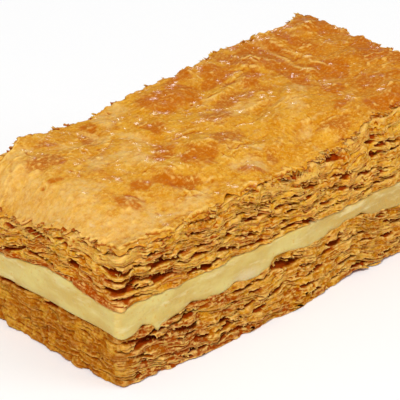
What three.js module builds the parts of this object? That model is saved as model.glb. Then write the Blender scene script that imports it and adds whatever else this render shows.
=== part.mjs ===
// A slice of mille feuille: a slab of puff pastry, a layer of set custard and a second slab of
// pastry with a glazed crust. The slice stands on its flat underside, +Z is up, sizes are in
// millimetres, and its origin is at the middle of that underside. Each of the three pieces is
// lofted from closed laps of the slice's outline, stacked from its underside to its top.
import * as THREE from 'three';
import { mergeVertices } from 'three/addons/utils/BufferGeometryUtils.js';

// Driving dimensions of the slice. Its near left corner is at x = 0, y = 0 while it is worked out.
const LENGTH = 125;
const WIDTH = 57;
const LOWER_SLAB = 14.4;           // lower slab of pastry, where it lies flat
const CUSTARD = 7.1;               // custard between the slabs
const TOP_AT_CORNER = 39.5;        // height of the crust over the near left corner, before it slumps
const TOP_RISE_ALONG = 0.045;      // rise of the crust for each millimetre of length
const TOP_RISE_ACROSS = 0.04;      // and of width
const GAP = 0.4;                   // between two pieces that lie on each other

// Leaves of the pastry, parted by joints that share each slab's thickness evenly.
const UPPER_JOINTS = 6;
const LOWER_JOINTS = 5;
const CRUST = 1.6;                 // thickness of the glazed crust over the upper slab's leaves
const JOINT_GAPE = 0.4;            // a closed joint between two leaves
const JOINT_DEPTH = 0.35;
const JOINT_WOBBLE = 0.17;         // of the distance between two joints
const WIDEST_GAPE = 0.6;           // of the same distance
const CORNER_DEPTH = 1.2;          // a hollow at a corner of the slice, and how much deeper it may
const DEPTH_FROM_CORNER = 0.8;     // be for each millimetre away from it
const LEAF_RELIEF = 0.8;           // how far the leaves' edges stand in and out
const LEAF_CRAGS = 0.3;            // random part of that
const RIM_CRAGS = 0.55;            // and at the crust's torn rim
const LIP_OVERHANG = 0.5;          // the leaf over a hollow stands out past the one below
const CORNER_ROUNDING = 0.7;

// Hollows between the leaves: one for each stretch of a joint, of random length and depth.
const HOLLOW_STRETCH = 9.1;
const HOLLOW_LENGTH = [5, 10];
const HOLLOW_GAPE = [0.8, 1.5];
const HOLLOW_DEPTH = [1.2, 2.8];
const HOLLOW_SHARE = 0.62;         // share of the stretches that have one

// The large hollows of the long near side: the joint, the middle along x, length, gape and depth.
const UPPER_HOLLOWS = [
  { joint: 5, x: 4, length: 12, gape: 1.4, depth: 3.2 },
  { joint: 4, x: 15, length: 11, gape: 1.5, depth: 3.4 },
  { joint: 2, x: 12.5, length: 12, gape: 1.4, depth: 3.4 },
  { joint: 3, x: 2, length: 11, gape: 1.5, depth: 3.2 },
  { joint: 1, x: 26, length: 8, gape: 1.7, depth: 2.6 },
  { joint: 5, x: 50, length: 8, gape: 1.1, depth: 2.4 },
  { joint: 4, x: 63, length: 9, gape: 1.1, depth: 2.6 },
];
const LOWER_HOLLOWS = [
  { joint: 4, x: 8, length: 13, gape: 1.5, depth: 3.2 },
  { joint: 4, x: 21, length: 9, gape: 1.3, depth: 3.0 },
  { joint: 5, x: 20, length: 12, gape: 1.3, depth: 2.8 },
  { joint: 5, x: 57, length: 11, gape: 2.0, depth: 3.8 },
  { joint: 5, x: 76, length: 7, gape: 2.2, depth: 4.0 },
];

// Fineness of the faceted solids.
const LONG_STEPS = 36;
const SHORT_STEPS = 16;
const CRUST_INSETS = [0.9, 2.6, 5.2, 9, 14, 20.5, WIDTH / 2];
const FACE_INSETS = [8, WIDTH / 2];
const BASE_INSETS = [WIDTH / 2];
const MERGE_DISTANCE = 1e-3;

const PERIMETER = 2 * (LENGTH + WIDTH);
const MIDDLE = new THREE.Vector2(LENGTH / 2, WIDTH / 2);
const TURN = 2 * Math.PI;

// Arithmetic helpers.
const mix = ([low, high], share) => low + (high - low) * share;
const bell = (x, middle, spread) => Math.exp(-(((x - middle) / spread) ** 2));
const step = (x, from, to) => THREE.MathUtils.smoothstep(x, from, to);

// A number between 0 and 1 that depends only on its two whole-number keys.
function draw(a, b) {
  const scrambled = Math.sin(a * 127.1 + b * 311.7) * 43758.5453;
  return scrambled - Math.floor(scrambled);
}

// A smooth wave along the outline, within -1 and 1, that meets itself after one lap.
function wobble(along, wavelength, seed) {
  const spreads = [1, 0.63, 1.71];
  const waves = spreads.map((spread, k) => {
    const laps = Math.round(PERIMETER / (wavelength * spread));
    return Math.sin(TURN * (laps * along / PERIMETER + draw(seed, k)));
  });
  return waves.reduce((sum, wave) => sum + wave, 0) / spreads.length;
}

// Soft lumps over the plan of the slice, within -1 and 1.
function lumps(x, y, wavelength, seed) {
  const directions = 5;
  let sum = 0;
  for (let k = 0; k < directions; k += 1) {
    const angle = Math.PI * (k + draw(seed, k + 20)) / directions;
    const length = wavelength * (0.7 + 0.6 * draw(seed, k + 40));
    const travelled = (x * Math.cos(angle) + y * Math.sin(angle)) / length;
    sum += Math.sin(TURN * (travelled + draw(seed, k + 60)));
  }
  return sum / directions;
}

// Height of the custard's underside: the lower slab humps up under it past the middle.
function custardFloor(x, y) {
  const along = x + 0.25 * y;
  const risen = 1.6 * step(along, 45, 56) - 0.9 * step(along, 96, 112);
  return LOWER_SLAB + risen + 0.8 * bell(along, 57, 5) + 1.9 * bell(along, 82, 6);
}

// Height of the custard's top: nearly level, higher in the middle of the left end.
function custardRoof(x, y) {
  const leftEnd = Math.exp(-x / 9);
  const swell = 1.9 * bell(y, 22, 10) - 1.2 * step(y, 34, 48);
  return LOWER_SLAB + CUSTARD + leftEnd * swell + 0.35 * lumps(x, y, 30, 3);
}

// Height of the glazed crust: it rises along the slice, slumps at its left end and near side,
// and has soft lumps and one dip at the back.
function crustHeight(x, y) {
  const plane = TOP_AT_CORNER + TOP_RISE_ALONG * x + TOP_RISE_ACROSS * y;
  const leftSlump = (0.6 + 10.2 * y / WIDTH) * bell(x, 0, 9 - 2.5 * y / WIDTH);
  const nearShare = 1 - step(x, 78, 90);
  const nearSlump = (3 + 1.3 * Math.max(0, 1 - x / 50)) * nearShare * bell(y, 0, 11);
  const backDip = 2.1 * bell(x, 37, 13) * step(y, WIDTH * 0.45, WIDTH);
  const rightSlump = 0.4 * bell(x, LENGTH, 6);
  const lumpy = 0.9 * lumps(x, y, 34, 7) + 0.45 * lumps(x, y, 15, 11);
  return plane - leftSlump - nearSlump - backDip - rightSlump + lumpy;
}

// One lap of columns round the outline: place, outward direction and distance travelled.
function outlineColumns() {
  const corners = [[0, 0], [LENGTH, 0], [LENGTH, WIDTH], [0, WIDTH]].map((p) => new THREE.Vector2(...p));
  const steps = [LONG_STEPS, SHORT_STEPS, LONG_STEPS, SHORT_STEPS];
  const outwards = corners.map((corner, side) => {
    const run = corners[(side + 1) % 4].clone().sub(corner).normalize();
    return new THREE.Vector2(run.y, -run.x);
  });
  const columns = [];
  let travelled = 0;
  corners.forEach((corner, side) => {
    const next = corners[(side + 1) % 4];
    for (let i = 0; i < steps[side]; i += 1) {
      const place = corner.clone().lerp(next, i / steps[side]);
      const outward = outwards[side].clone();
      if (i === 0) outward.add(outwards[(side + 3) % 4]);
      const along = travelled + place.distanceTo(corner);
      const toCorner = Math.min(place.distanceTo(corner), place.distanceTo(next));
      const rounding = i === 0 ? CORNER_ROUNDING : 0;
      columns.push({ place, outward, along, toCorner, side, rounding, index: columns.length });
    }
    travelled += corner.distanceTo(next);
  });
  return columns;
}

const COLUMNS = outlineColumns();
const [NEAR, RIGHT, BACK, LEFT] = [0, 1, 2, 3];

// Opening of a hollow that is lens-shaped along the joint: 1 in its middle, 0 past its ends.
function lens(along, middle, length) {
  const offset = (along - middle) / (length / 2);
  return Math.sqrt(Math.max(0, 1 - offset * offset));
}

// Gape and depth of a slab's joint at one column: the deepest of the hollows that reach it.
function jointOpening(column, joint, slab) {
  const stretches = Math.round(PERIMETER / HOLLOW_STRETCH);
  const stretch = PERIMETER / stretches;
  const stagger = joint % 2 ? 0 : 0.5;
  const home = Math.floor(column.along / stretch - stagger);
  const opening = { gape: JOINT_GAPE, depth: JOINT_DEPTH };
  for (let cell = home - 1; cell <= home + 1; cell += 1) {
    const key = slab.seed + joint * 7 + ((cell + stretches) % stretches) * 13;
    if (draw(key, 1) > HOLLOW_SHARE) continue;
    const middle = (cell + stagger + 0.5 + 0.3 * (draw(key, 2) - 0.5)) * stretch;
    const open = lens(column.along, middle, mix(HOLLOW_LENGTH, draw(key, 3))) * slab.openness(column);
    opening.gape = Math.max(opening.gape, open * mix(HOLLOW_GAPE, draw(key, 4)));
    opening.depth = Math.max(opening.depth, open * mix(HOLLOW_DEPTH, draw(key, 5)));
  }
  for (const hollow of slab.hollows) {
    if (hollow.joint !== joint || column.side !== NEAR) continue;
    const open = lens(column.along, hollow.x, hollow.length);
    opening.gape = Math.max(opening.gape, open * hollow.gape);
    opening.depth = Math.max(opening.depth, open * hollow.depth);
  }
  opening.depth = Math.min(opening.depth, CORNER_DEPTH + DEPTH_FROM_CORNER * column.toCorner);
  return opening;
}

// How far a leaf's edge stands out at a column. The crust is the leaf past the last even joint.
function leafEdge(column, leaf, slab) {
  const key = slab.seed + leaf * 3;
  const wavy = 0.6 * wobble(column.along, 17, key) + 0.6 * wobble(column.along, 8.5, key + 1);
  const crags = leaf > slab.joints ? RIM_CRAGS : LEAF_CRAGS;
  const torn = 2 * draw(column.index + 1, key) - 1;
  return LEAF_RELIEF * wavy + crags * torn - column.rounding;
}

// The near side of the lower slab bulges out towards its foot between two places.
function lowerLean(column, height) {
  const { x, y } = column.place;
  const foot = Math.max(0, 1 - height / LOWER_SLAB);
  if (column.side === NEAR) return foot * (0.4 + 2.2 * step(x, 6, 26) * (1 - step(x, 62, 78)));
  if (column.side === BACK) return 1.2 * foot * bell(x, 84, 22);
  if (column.side === LEFT) return foot * (0.4 - 0.9 * step(y, 24, 44));
  return 0.5 * foot;
}

// The crust's edge is set back from the upper slab's side where the rim has crumbled away.
function upperLean(column, height) {
  const { x } = column.place;
  const rise = step(height, LOWER_SLAB + CUSTARD + 9, LOWER_SLAB + CUSTARD + 20);
  if (column.side === NEAR) return -2.6 * rise * step(x, 55, 72);
  if (column.side === BACK) return -1.8 * rise * bell(x, 62, 20);
  return -0.6 * rise;
}

const LOWER = {
  seed: 100,
  joints: LOWER_JOINTS,
  hollows: LOWER_HOLLOWS,
  crust: 0,
  floor: () => 0,
  roof: (x, y) => custardFloor(x, y) - GAP / 2,
  lean: lowerLean,
  openness: (column) => (column.side === LEFT ? 0.3 : column.side === RIGHT ? 0.5 : 1),
};

const UPPER = {
  seed: 500,
  joints: UPPER_JOINTS,
  hollows: UPPER_HOLLOWS,
  floor: (x, y) => custardRoof(x, y) + GAP / 2,
  roof: crustHeight,
  crust: CRUST,
  lean: upperLean,
  openness: (column) => (column.side === LEFT ? 0.7 : 1),
};

// Heights of a slab's joints at one column, from its floor up, and the distance between them.
// A slab with a crust has one more joint, under the crust.
function jointHeights(column, slab) {
  const { x, y } = column.place;
  const floor = slab.floor(x, y);
  const roof = slab.roof(x, y) - slab.crust;
  const pitch = (roof - floor) / (slab.joints + 1);
  const wavy = (joint, wavelength) => JOINT_WOBBLE * pitch * wobble(column.along, wavelength, slab.seed + joint);
  const heights = [];
  for (let joint = 1; joint <= slab.joints; joint += 1) {
    heights.push(floor + pitch * joint + wavy(joint + 50, 21));
  }
  if (slab.crust) heights.push(roof + wavy(90, 13));
  return { heights, pitch };
}

// The side of a slab at one column, from its floor up: [distance out, height] of each lap.
function slabSide(column, slab) {
  const { x, y } = column.place;
  const out = (leaf, height) => leafEdge(column, leaf, slab) + slab.lean(column, height);
  const floor = slab.floor(x, y);
  const roof = slab.roof(x, y);
  const { heights, pitch } = jointHeights(column, slab);
  const profile = [[out(0, floor) - 0.3, floor]];
  heights.forEach((height, index) => {
    const opening = jointOpening(column, index + 1, slab);
    const gape = Math.min(opening.gape, WIDEST_GAPE * pitch);
    const below = out(index, height);
    const above = out(index + 1, height) + LIP_OVERHANG * opening.depth / HOLLOW_DEPTH[1];
    profile.push([below, height - gape / 2]);
    profile.push([Math.min(below, above) - opening.depth, height]);
    profile.push([above, height + gape / 2]);
  });
  profile.push([out(heights.length, roof) - 0.15, roof - 0.25]);
  return profile;
}

// The custard's side bulges a little between the slabs, most at the left end.
function custardSide(column) {
  const { x, y } = column.place;
  const floor = custardFloor(x, y) + GAP / 2;
  const roof = custardRoof(x, y) - GAP / 2;
  const stand = column.side === LEFT ? 0.5 : -0.2;
  const out = stand - column.rounding + 0.3 * wobble(column.along, 26, 900);
  return [
    [out - 0.25, floor],
    [out + 0.35, floor + 0.3 * (roof - floor)],
    [out + 0.3, floor + 0.75 * (roof - floor)],
    [out - 0.2, roof],
  ];
}

// A lap of points: each column of the outline moved out, and the whole lap drawn in by an inset.
function lap(outs, inset, heightAt) {
  const shrink = new THREE.Vector2(1 - inset / MIDDLE.x, 1 - inset / MIDDLE.y);
  const relief = Math.max(0, 1 - inset / 6);
  return COLUMNS.map((column, i) => {
    const point = column.place.clone().addScaledVector(column.outward, outs[i] * relief);
    point.sub(MIDDLE).multiply(shrink).add(MIDDLE);
    return new THREE.Vector3(point.x, point.y, heightAt(point.x, point.y, i));
  });
}

// A closed solid from laps stacked upwards. The first and the last lap are each drawn in to a
// ridge line, where the points of opposite sides merge.
function loft(laps) {
  const count = COLUMNS.length;
  const positions = laps.flat().flatMap((point) => point.toArray());
  const indices = [];
  for (let row = 0; row + 1 < laps.length; row += 1) {
    for (let i = 0; i < count; i += 1) {
      const here = row * count + i;
      const beside = row * count + (i + 1) % count;
      indices.push(here, beside, beside + count, here, beside + count, here + count);
    }
  }
  const open = new THREE.BufferGeometry();
  open.setAttribute('position', new THREE.Float32BufferAttribute(positions, 3));
  open.setIndex(indices);
  const closed = mergeVertices(open, MERGE_DISTANCE);
  closed.setIndex(withoutSlivers(Array.from(closed.index.array)));
  closed.computeVertexNormals();
  return closed;
}

// Triangles that lost a corner when points merged are left out.
function withoutSlivers(indices) {
  const kept = [];
  for (let t = 0; t < indices.length; t += 3) {
    const [a, b, c] = indices.slice(t, t + 3);
    if (a !== b && b !== c && c !== a) kept.push(a, b, c);
  }
  return kept;
}

// A solid between an underside and a top, with a side profile worked out for each column.
function layer({ sideAt, underside, undersideInsets, top, topInsets }) {
  const profiles = COLUMNS.map(sideAt);
  const lapCount = profiles[0].length;
  const outsOf = (row) => profiles.map((profile) => profile[row][0]);
  const laps = [];
  for (const inset of [...undersideInsets].reverse()) laps.push(lap(outsOf(0), inset, underside));
  for (let row = 0; row < lapCount; row += 1) {
    laps.push(lap(outsOf(row), 0, (x, y, i) => profiles[i][row][1]));
  }
  for (const inset of topInsets) laps.push(lap(outsOf(lapCount - 1), inset, top));
  return loft(laps);
}

function lowerPastry() {
  return layer({
    sideAt: (column) => slabSide(column, LOWER),
    underside: LOWER.floor,
    undersideInsets: BASE_INSETS,
    top: LOWER.roof,
    topInsets: FACE_INSETS,
  });
}

function custard() {
  return layer({
    sideAt: custardSide,
    underside: (x, y) => custardFloor(x, y) + GAP / 2,
    undersideInsets: FACE_INSETS,
    top: (x, y) => custardRoof(x, y) - GAP / 2,
    topInsets: FACE_INSETS,
  });
}

function upperPastry() {
  return layer({
    sideAt: (column) => slabSide(column, UPPER),
    underside: UPPER.floor,
    undersideInsets: FACE_INSETS,
    top: UPPER.roof,
    topInsets: CRUST_INSETS,
  });
}

function piece(name, geometry, color, roughness) {
  const material = new THREE.MeshStandardMaterial({ color, roughness, metalness: 0, flatShading: true });
  const mesh = new THREE.Mesh(geometry, material);
  mesh.name = name;
  return mesh;
}

const slice = new THREE.Group();
slice.add(
  piece('pastry_bottom', lowerPastry(), '#c28d42', 0.85),
  piece('custard', custard(), '#e6cf8c', 0.45),
  piece('pastry_top', upperPastry(), '#d99c40', 0.4),
);

// The middle of the underside goes to the origin.
const middle = new THREE.Box3().setFromObject(slice).getCenter(new THREE.Vector3());
slice.children.forEach((mesh) => mesh.position.set(-middle.x, -middle.y, 0));

export default slice;
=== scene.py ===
"""A slice of mille feuille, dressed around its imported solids.

The solids give the main form. Fine meshes of the same form replace them: the leaves of the lower
slab, the custard, the leaves of the upper slab, its glazed crust, and the loose flakes along the
torn edges. The form is worked out in millimetres in the slice's own plan, whose near left corner
is at x = 0, y = 0, from the same sizes and the same waves as the solids, and then moved into the
frame. "along" is the distance round the plan from that corner, anticlockwise, and "depth" is the
distance inwards from the plan's edge.
"""

import bpy
import numpy as np
from mathutils import Matrix, Vector


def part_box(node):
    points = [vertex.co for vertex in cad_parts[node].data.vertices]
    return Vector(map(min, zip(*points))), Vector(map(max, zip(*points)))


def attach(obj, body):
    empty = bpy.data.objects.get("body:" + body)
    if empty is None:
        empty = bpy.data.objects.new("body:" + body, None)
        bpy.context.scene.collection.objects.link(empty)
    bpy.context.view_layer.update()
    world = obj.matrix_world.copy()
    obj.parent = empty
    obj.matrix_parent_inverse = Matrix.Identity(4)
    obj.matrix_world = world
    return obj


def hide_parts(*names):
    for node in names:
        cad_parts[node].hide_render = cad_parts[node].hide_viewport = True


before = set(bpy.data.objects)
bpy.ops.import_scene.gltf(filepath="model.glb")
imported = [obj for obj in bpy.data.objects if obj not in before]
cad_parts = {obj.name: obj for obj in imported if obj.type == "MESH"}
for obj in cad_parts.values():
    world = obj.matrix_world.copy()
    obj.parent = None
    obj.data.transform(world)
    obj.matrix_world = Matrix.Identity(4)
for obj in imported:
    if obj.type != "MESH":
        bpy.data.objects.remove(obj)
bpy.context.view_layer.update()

MM = 0.001

# Sizes of the slice, as in its solids, in millimetres.
LENGTH = 125.0
WIDTH = 57.0
LOWER_SLAB = 14.4
CUSTARD = 7.1
TOP_AT_CORNER = 39.5
TOP_RISE_ALONG = 0.045
TOP_RISE_ACROSS = 0.04
CORNER_RADIUS = 2.0
PERIMETER = 2 * (LENGTH + WIDTH)

# The leaves of both slabs, as in the solids: the joints between them wave up and down, and their
# edges in and out.
JOINT_WAVE = 21
JOINT_WOBBLE = 0.17
EDGE_WAVES = (17, 8.5)
WIDEST_GAPE = 0.6
CORNER_DEPTH = 1.2
DEPTH_FROM_CORNER = 0.8
LEAF_RELIEF = 0.8
LEAF_CRAGS = 0.3
RIM_CRAGS = 0.55
LIP_OVERHANG = 0.5
SOLID_STEPS = (36, 16)

# Hollows between the leaves, as in the solids. Each stretch of a joint has at most one, and the
# rows below add those seen on the near side: joint, middle along x, length, gape and depth.
HOLLOW_STRETCH = 9.1
HOLLOW_LENGTH = (5, 10)
HOLLOW_GAPE = (0.8, 1.5)
HOLLOW_DEPTH = (1.2, 2.8)
HOLLOW_SHARE = 0.62
UPPER_HOLLOWS = (
    (5, 4, 12, 1.4, 3.2),
    (4, 15, 11, 1.5, 3.4),
    (2, 12.5, 12, 1.4, 3.4),
    (3, 2, 11, 1.5, 3.2),
    (1, 26, 8, 1.7, 2.6),
    (5, 50, 8, 1.1, 2.4),
    (4, 63, 9, 1.1, 2.6),
)
LOWER_HOLLOWS = (
    (4, 8, 13, 1.5, 3.2),
    (4, 21, 9, 1.3, 3.0),
    (5, 20, 12, 1.3, 2.8),
    (5, 57, 11, 2.0, 3.8),
    (5, 76, 7, 2.2, 4.0),
)

# Short slits that only these meshes have, cut a little wider than their rows say. On the near side:
# x, height, length, gape and depth; they fall a little to the right.
SLIT_FALL = -0.16
SLIT_WIDENED = 1.2
NEAR_SLITS = (
    (0.5, 31.6, 7, 1.5, 3.0), (5, 29.4, 8, 0.7, 1.6), (6, 27.4, 9, 0.7, 1.8), (5, 25.3, 8, 0.8, 1.8),
    (3, 23.4, 8, 0.7, 1.4), (14.5, 29.8, 12, 1.5, 3.2), (13.5, 26.3, 12, 1.6, 3.4), (9, 23.2, 6, 0.9, 1.6),
    (27, 23.4, 8, 1.8, 3.0), (36, 25.4, 8, 1.4, 2.6), (26.5, 27.4, 6, 1.1, 2.0), (35, 29.3, 6, 1.1, 2.0),
    (20, 33.0, 6, 0.6, 1.2), (43, 30.9, 6, 1.1, 2.2), (41.5, 27.0, 5, 0.9, 1.8), (46.5, 23.2, 6, 1.0, 1.8),
    (48.5, 32.2, 5, 1.0, 1.8), (52, 29.0, 4, 0.8, 1.4), (56, 25.6, 6, 1.1, 2.0), (53, 22.6, 5, 0.8, 1.4),
    (66, 32.6, 7, 1.6, 2.8), (60, 29.2, 5, 0.8, 1.6), (65, 22.8, 8, 1.5, 2.6), (67.5, 27.6, 5, 0.8, 1.4),
    (72.5, 25.6, 6, 1.0, 2.0), (79, 31.0, 5, 1.5, 2.4), (75, 29.0, 5, 0.8, 1.4), (85, 25.6, 5, 1.3, 2.4),
    (86, 29.6, 5, 1.0, 2.0), (91, 33.4, 7, 1.3, 2.4), (94, 28.0, 5, 0.9, 1.6), (95, 25.2, 5, 1.0, 1.8),
    (99, 34.4, 5, 1.1, 2.0), (80, 23.4, 4, 0.8, 1.4), (59, 36.9, 9, 1.7, 3.0), (74.5, 37.2, 7, 1.6, 2.8),
    (90, 37.0, 6, 1.2, 2.2), (29.5, 36.1, 11, 0.9, 2.0), (43, 35.6, 4, 0.7, 1.4),
    (6, 11.4, 12, 1.3, 2.8), (19, 13.5, 12, 1.1, 2.4), (21, 9.2, 9, 1.4, 2.8), (13, 9.8, 6, 0.8, 1.4),
    (33.5, 6.6, 6, 1.2, 2.2), (38, 5.2, 6, 1.0, 2.0), (35, 3.0, 5, 1.0, 1.8), (21.5, 1.5, 5, 0.8, 1.4),
    (40, 2.1, 6, 0.7, 1.4), (45, 8.5, 9, 0.7, 1.4), (47, 12.3, 6, 0.8, 1.4), (57, 13.4, 11, 2.0, 3.6),
    (76, 12.6, 6, 2.0, 3.4), (93, 14.6, 4, 1.0, 1.8), (79, 3.2, 4, 0.9, 1.4), (8, 6.4, 6, 0.6, 1.2),
    (5, 3.6, 6, 0.6, 1.0), (14, 4.4, 6, 0.6, 1.0), (26, 5.6, 5, 0.6, 1.0), (66, 5.0, 7, 0.5, 0.9),
    (88, 9.0, 8, 0.6, 1.2), (98, 11.4, 6, 1.0, 1.8), (108, 28, 7, 1.3, 2.4), (115, 36, 6, 1.1, 2.0),
    (112, 9, 8, 1.1, 1.8), (118, 24, 6, 1.0, 1.8), (106, 32, 5, 0.9, 1.6), (105, 5, 6, 0.8, 1.4),
)
# Those round the near left corner and on the left end: place along, which is less than 0 on the left
# end, height, length, gape, depth and slope.
CORNER_SLITS = (
    (-1.5, 31.0, 10, 1.7, 3.0, -0.06), (0, 26.2, 13, 1.6, 3.2, 0.02), (3, 28.6, 12, 0.8, 2.2, -0.05),
    (2, 33.2, 7, 0.5, 1.4, -0.1), (1.5, 24.0, 9, 0.8, 1.8, -0.05), (-3, 28.7, 5, 0.5, 1.4, 0.1),
    (-40, 23.6, 13, 1.3, 2.4, 0.4), (-29, 25.5, 15, 1.2, 2.4, -0.12), (-31.5, 31.0, 8, 1.5, 2.6, 0.1),
    (-41, 29.6, 5, 1.8, 1.6, 0.2), (-16.5, 28.2, 4, 2.2, 2.4, -0.1), (-18, 32.3, 6, 0.7, 1.6, -0.2),
    (-13, 30.6, 6, 0.5, 1.2, -0.25), (-12, 32.0, 5, 0.5, 1.2, -0.3), (-24, 29.0, 7, 0.7, 1.6, -0.1),
    (-34, 28.6, 6, 0.6, 1.2, 0.1), (-9, 26.0, 6, 0.6, 1.4, -0.2), (-22, 33.0, 4, 0.8, 1.6, 0.2),
    (-50, 25.0, 9, 1.1, 2.0, 0.2), (-49, 29.0, 6, 0.8, 1.6, 0.0),
    (-39, 13.8, 15, 1.0, 2.6, 0.0), (-26, 13.2, 7, 1.3, 2.0, 0.1), (-18.5, 13.9, 4, 1.0, 2.0, -0.1),
    (-11, 13.9, 5, 0.6, 1.6, -0.05), (-7, 5.8, 5, 0.8, 0.8, -0.2), (-21, 5.4, 5, 0.7, 0.7, -0.1),
    (-12, 10.2, 6, 0.6, 0.8, -0.2), (-35, 5.0, 5, 0.5, 0.7, 0.0), (-50, 13.6, 7, 0.8, 1.8, 0.0),
)

# Waves of a slab's side and folds of its left end: size across and size out.
SIDE_WAVES = (5.5, 0.45)
END_FOLDS = (4.2, 0.55)
END_CREASES = (1.7, 0.2)
# How far the thick lip low on the left end stands out, and the shares of the slab's height between
# which it gives out.
END_LIP = 0.5
END_LIP_TOP = (0.07, 0.15)
# How the slits wander up and down: size along and size up.
SLIT_WANDER = (3.1, 0.3)

# Thin sheets within the leaves: how far they wander, in sheets, and fall to the right, and their
# torn edges, gaps, crumb and pits, where a pair gives the size across and the size out.
UPPER_SHEETS = 31
LOWER_SHEETS = 25
SHEET_WARP = 0.9
SHEET_FALL = 0.15
SHEET_TEARS = ((4.2, 0.26), (1.3, 0.14))
SHEET_GAPE = (0.0, 0.48)
SHEET_DEPTH = (0.0, 0.75)
TOOTH = (0.85, 0.2)
CRUMB = ((1.6, 0.12), (0.75, 0.15))
PITS = (1.7, 0.4)
# The tip of the upper slab's lowest leaf that hangs over the custard at the near left corner: its
# place along, half width, how far down it hangs, how far out it stands, and the shares of the slab's
# height between which it gives out.
TONGUE_PLACE = -0.6
TONGUE_WIDTH = 2.3
TONGUE = 1.8
TONGUE_STAND = 1.0
TONGUE_TOP = (0.06, 0.2)

# The grid that the leaves' surface is drawn from: steps along, up and inwards, of which FACE lies
# nearest the outline. The rows reach a margin past the slab's floor and roof, and the ledge round
# the roof grows calm between two depths.
SIDE_COLUMNS = 860
UPPER_ROWS = 104
LOWER_ROWS = 84
ROW_MARGIN = 1.3
SIDE_DEPTHS = np.array([
    -2.9, -2.4, -2.0, -1.65, -1.3, -1.0, -0.7, -0.4, -0.1, 0.2, 0.5, 0.8, 1.15, 1.55, 2.0, 2.6, 3.3,
    4.2, 5.4])
FACE = np.abs(SIDE_DEPTHS).argmin()
CALM_DEPTH = (3.2, 5.0)

# The crust: the solids' thickness, that of the thin lid that these meshes show, and the lid's grid,
# whose laps lie closer together near the rim.
CRUST = 1.6
LID = 0.85
CRUST_COLUMNS = 980
CRUST_LAPS = 86
LAP_GRADING = 1.25
# How far inside the rim's edge the first lap of the top lies, and how far the last is from the
# middle line.
RIM_INSET = 0.35
LAST_LAP = 0.2
# What stands for the height above the rim's edge in the colours of the underside, which it darkens
# with painted shade.
UNDERSIDE_RISE = -1.3

# How far inside the outline the laps of the faces that don't show lie.
FIRST_INSET = 5.0
INSETS = (8.0, 11.0, 14.0, 18.0, 23.0)

# No mesh here has more triangles than this.
MOST_TRIANGLES = 190000

# The custard, and the gap that parts it from each slab.
GAP = 0.1
CUSTARD_COLUMNS = 500

# The camera, fitted to the edges of the slice: its direction, its distance and aim from the near
# bottom corner, and its focal length in pixels of the square frame.
CAMERA_AZIMUTH = -43.9
CAMERA_ELEVATION = 26.79
CAMERA_DISTANCE = 538.0
CAMERA_RIGHT = 19.24
CAMERA_UP = 46.03
FOCAL_PIXELS = 2214.8
FRAME_PIXELS = 400
SENSOR = 36.0

# The stage, in metres: the floor's size, the white surround's strength, and the height of the
# slice's middle, which the lights are aimed at.
FLOOR_SIZE = 6
SURROUND = 0.34
MIDDLE_HEIGHT = 0.025


# ---------------------------------------------------------------------------------------------
# Arithmetic and noise.

def mix(ends, share):
    return ends[0] + (ends[1] - ends[0]) * share


def bell(x, middle, spread):
    return np.exp(-(((x - middle) / spread) ** 2))


def step(x, low, high):
    t = np.clip((x - low) / (high - low), 0, 1)
    return t * t * (3 - 2 * t)


def draw(a, b):
    """Numbers between 0 and 1 that depend only on two keys."""
    scrambled = np.sin(a * 127.1 + b * 311.7) * 43758.5453
    return scrambled - np.floor(scrambled)


def wobble(along, wavelength, seed):
    """A smooth wave along the outline that meets itself after one lap, as in the solids."""
    total = 0
    for k, spread in enumerate((1, 0.63, 1.71)):
        laps = np.floor(PERIMETER / (wavelength * spread) + 0.5)
        total = total + np.sin(2 * np.pi * (laps * along / PERIMETER + draw(seed, k)))
    return total / 3


def lumps(x, y, wavelength, seed):
    """Soft lumps over the plan of the slice, as in the solids."""
    total = 0
    for k in range(5):
        angle = np.pi * (k + draw(seed, k + 20)) / 5
        length = wavelength * (0.7 + 0.6 * draw(seed, k + 40))
        travelled = (x * np.cos(angle) + y * np.sin(angle)) / length
        total = total + np.sin(2 * np.pi * (travelled + draw(seed, k + 60)))
    return total / 5


def lattice(cell, seed):
    """A number between -1 and 1 at each whole-number place."""
    n = cell[0] * 374761393 + cell[1] * 668265263 + cell[2] * 1440662683 + seed * 1274126177
    n = ((n ^ ((n & 0xFFFFFFFF) >> 13)) & 0xFFFFFFFF) * 1274126177 & 0xFFFFFFFF
    return ((n ^ (n >> 16)) & 0xFFFF) / 32767.5 - 1


def noise(x, y, z, scale, seed):
    """Smooth noise between -1 and 1 whose bumps are about one scale across."""
    scaled = [np.asarray(v, float) / scale for v in np.broadcast_arrays(x, y, z)]
    cells = [np.floor(v).astype(np.int64) for v in scaled]
    shares = [v - c for v, c in zip(scaled, cells)]
    ahead = [t * t * (3 - 2 * t) for t in shares]
    weights = [(1 - t, t) for t in ahead]
    total = 0
    for corner in np.ndindex(2, 2, 2):
        weight = weights[0][corner[0]] * weights[1][corner[1]] * weights[2][corner[2]]
        total = total + weight * lattice([c + d for c, d in zip(cells, corner)], seed)
    return total


def fractal(x, y, z, scale, seed, octaves=2):
    """Noise summed over octaves, each half as large and half as strong as the one before."""
    total = sum(noise(x, y, z, scale / 2**k, seed + k) / 2**k for k in range(octaves))
    return total / (2 - 2.0 ** (1 - octaves))


def dome(x, y, place, size, angle=0.0):
    """One in the middle of an ellipse, falling to nought at its edge."""
    turn = np.radians(angle)
    dx, dy = x - place[0], y - place[1]
    u = (dx * np.cos(turn) + dy * np.sin(turn)) / size[0]
    v = (dy * np.cos(turn) - dx * np.sin(turn)) / size[1]
    return np.maximum(0, 1 - (u * u + v * v)) ** 1.5


# ---------------------------------------------------------------------------------------------
# The form of the slice, as in its solids.

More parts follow.
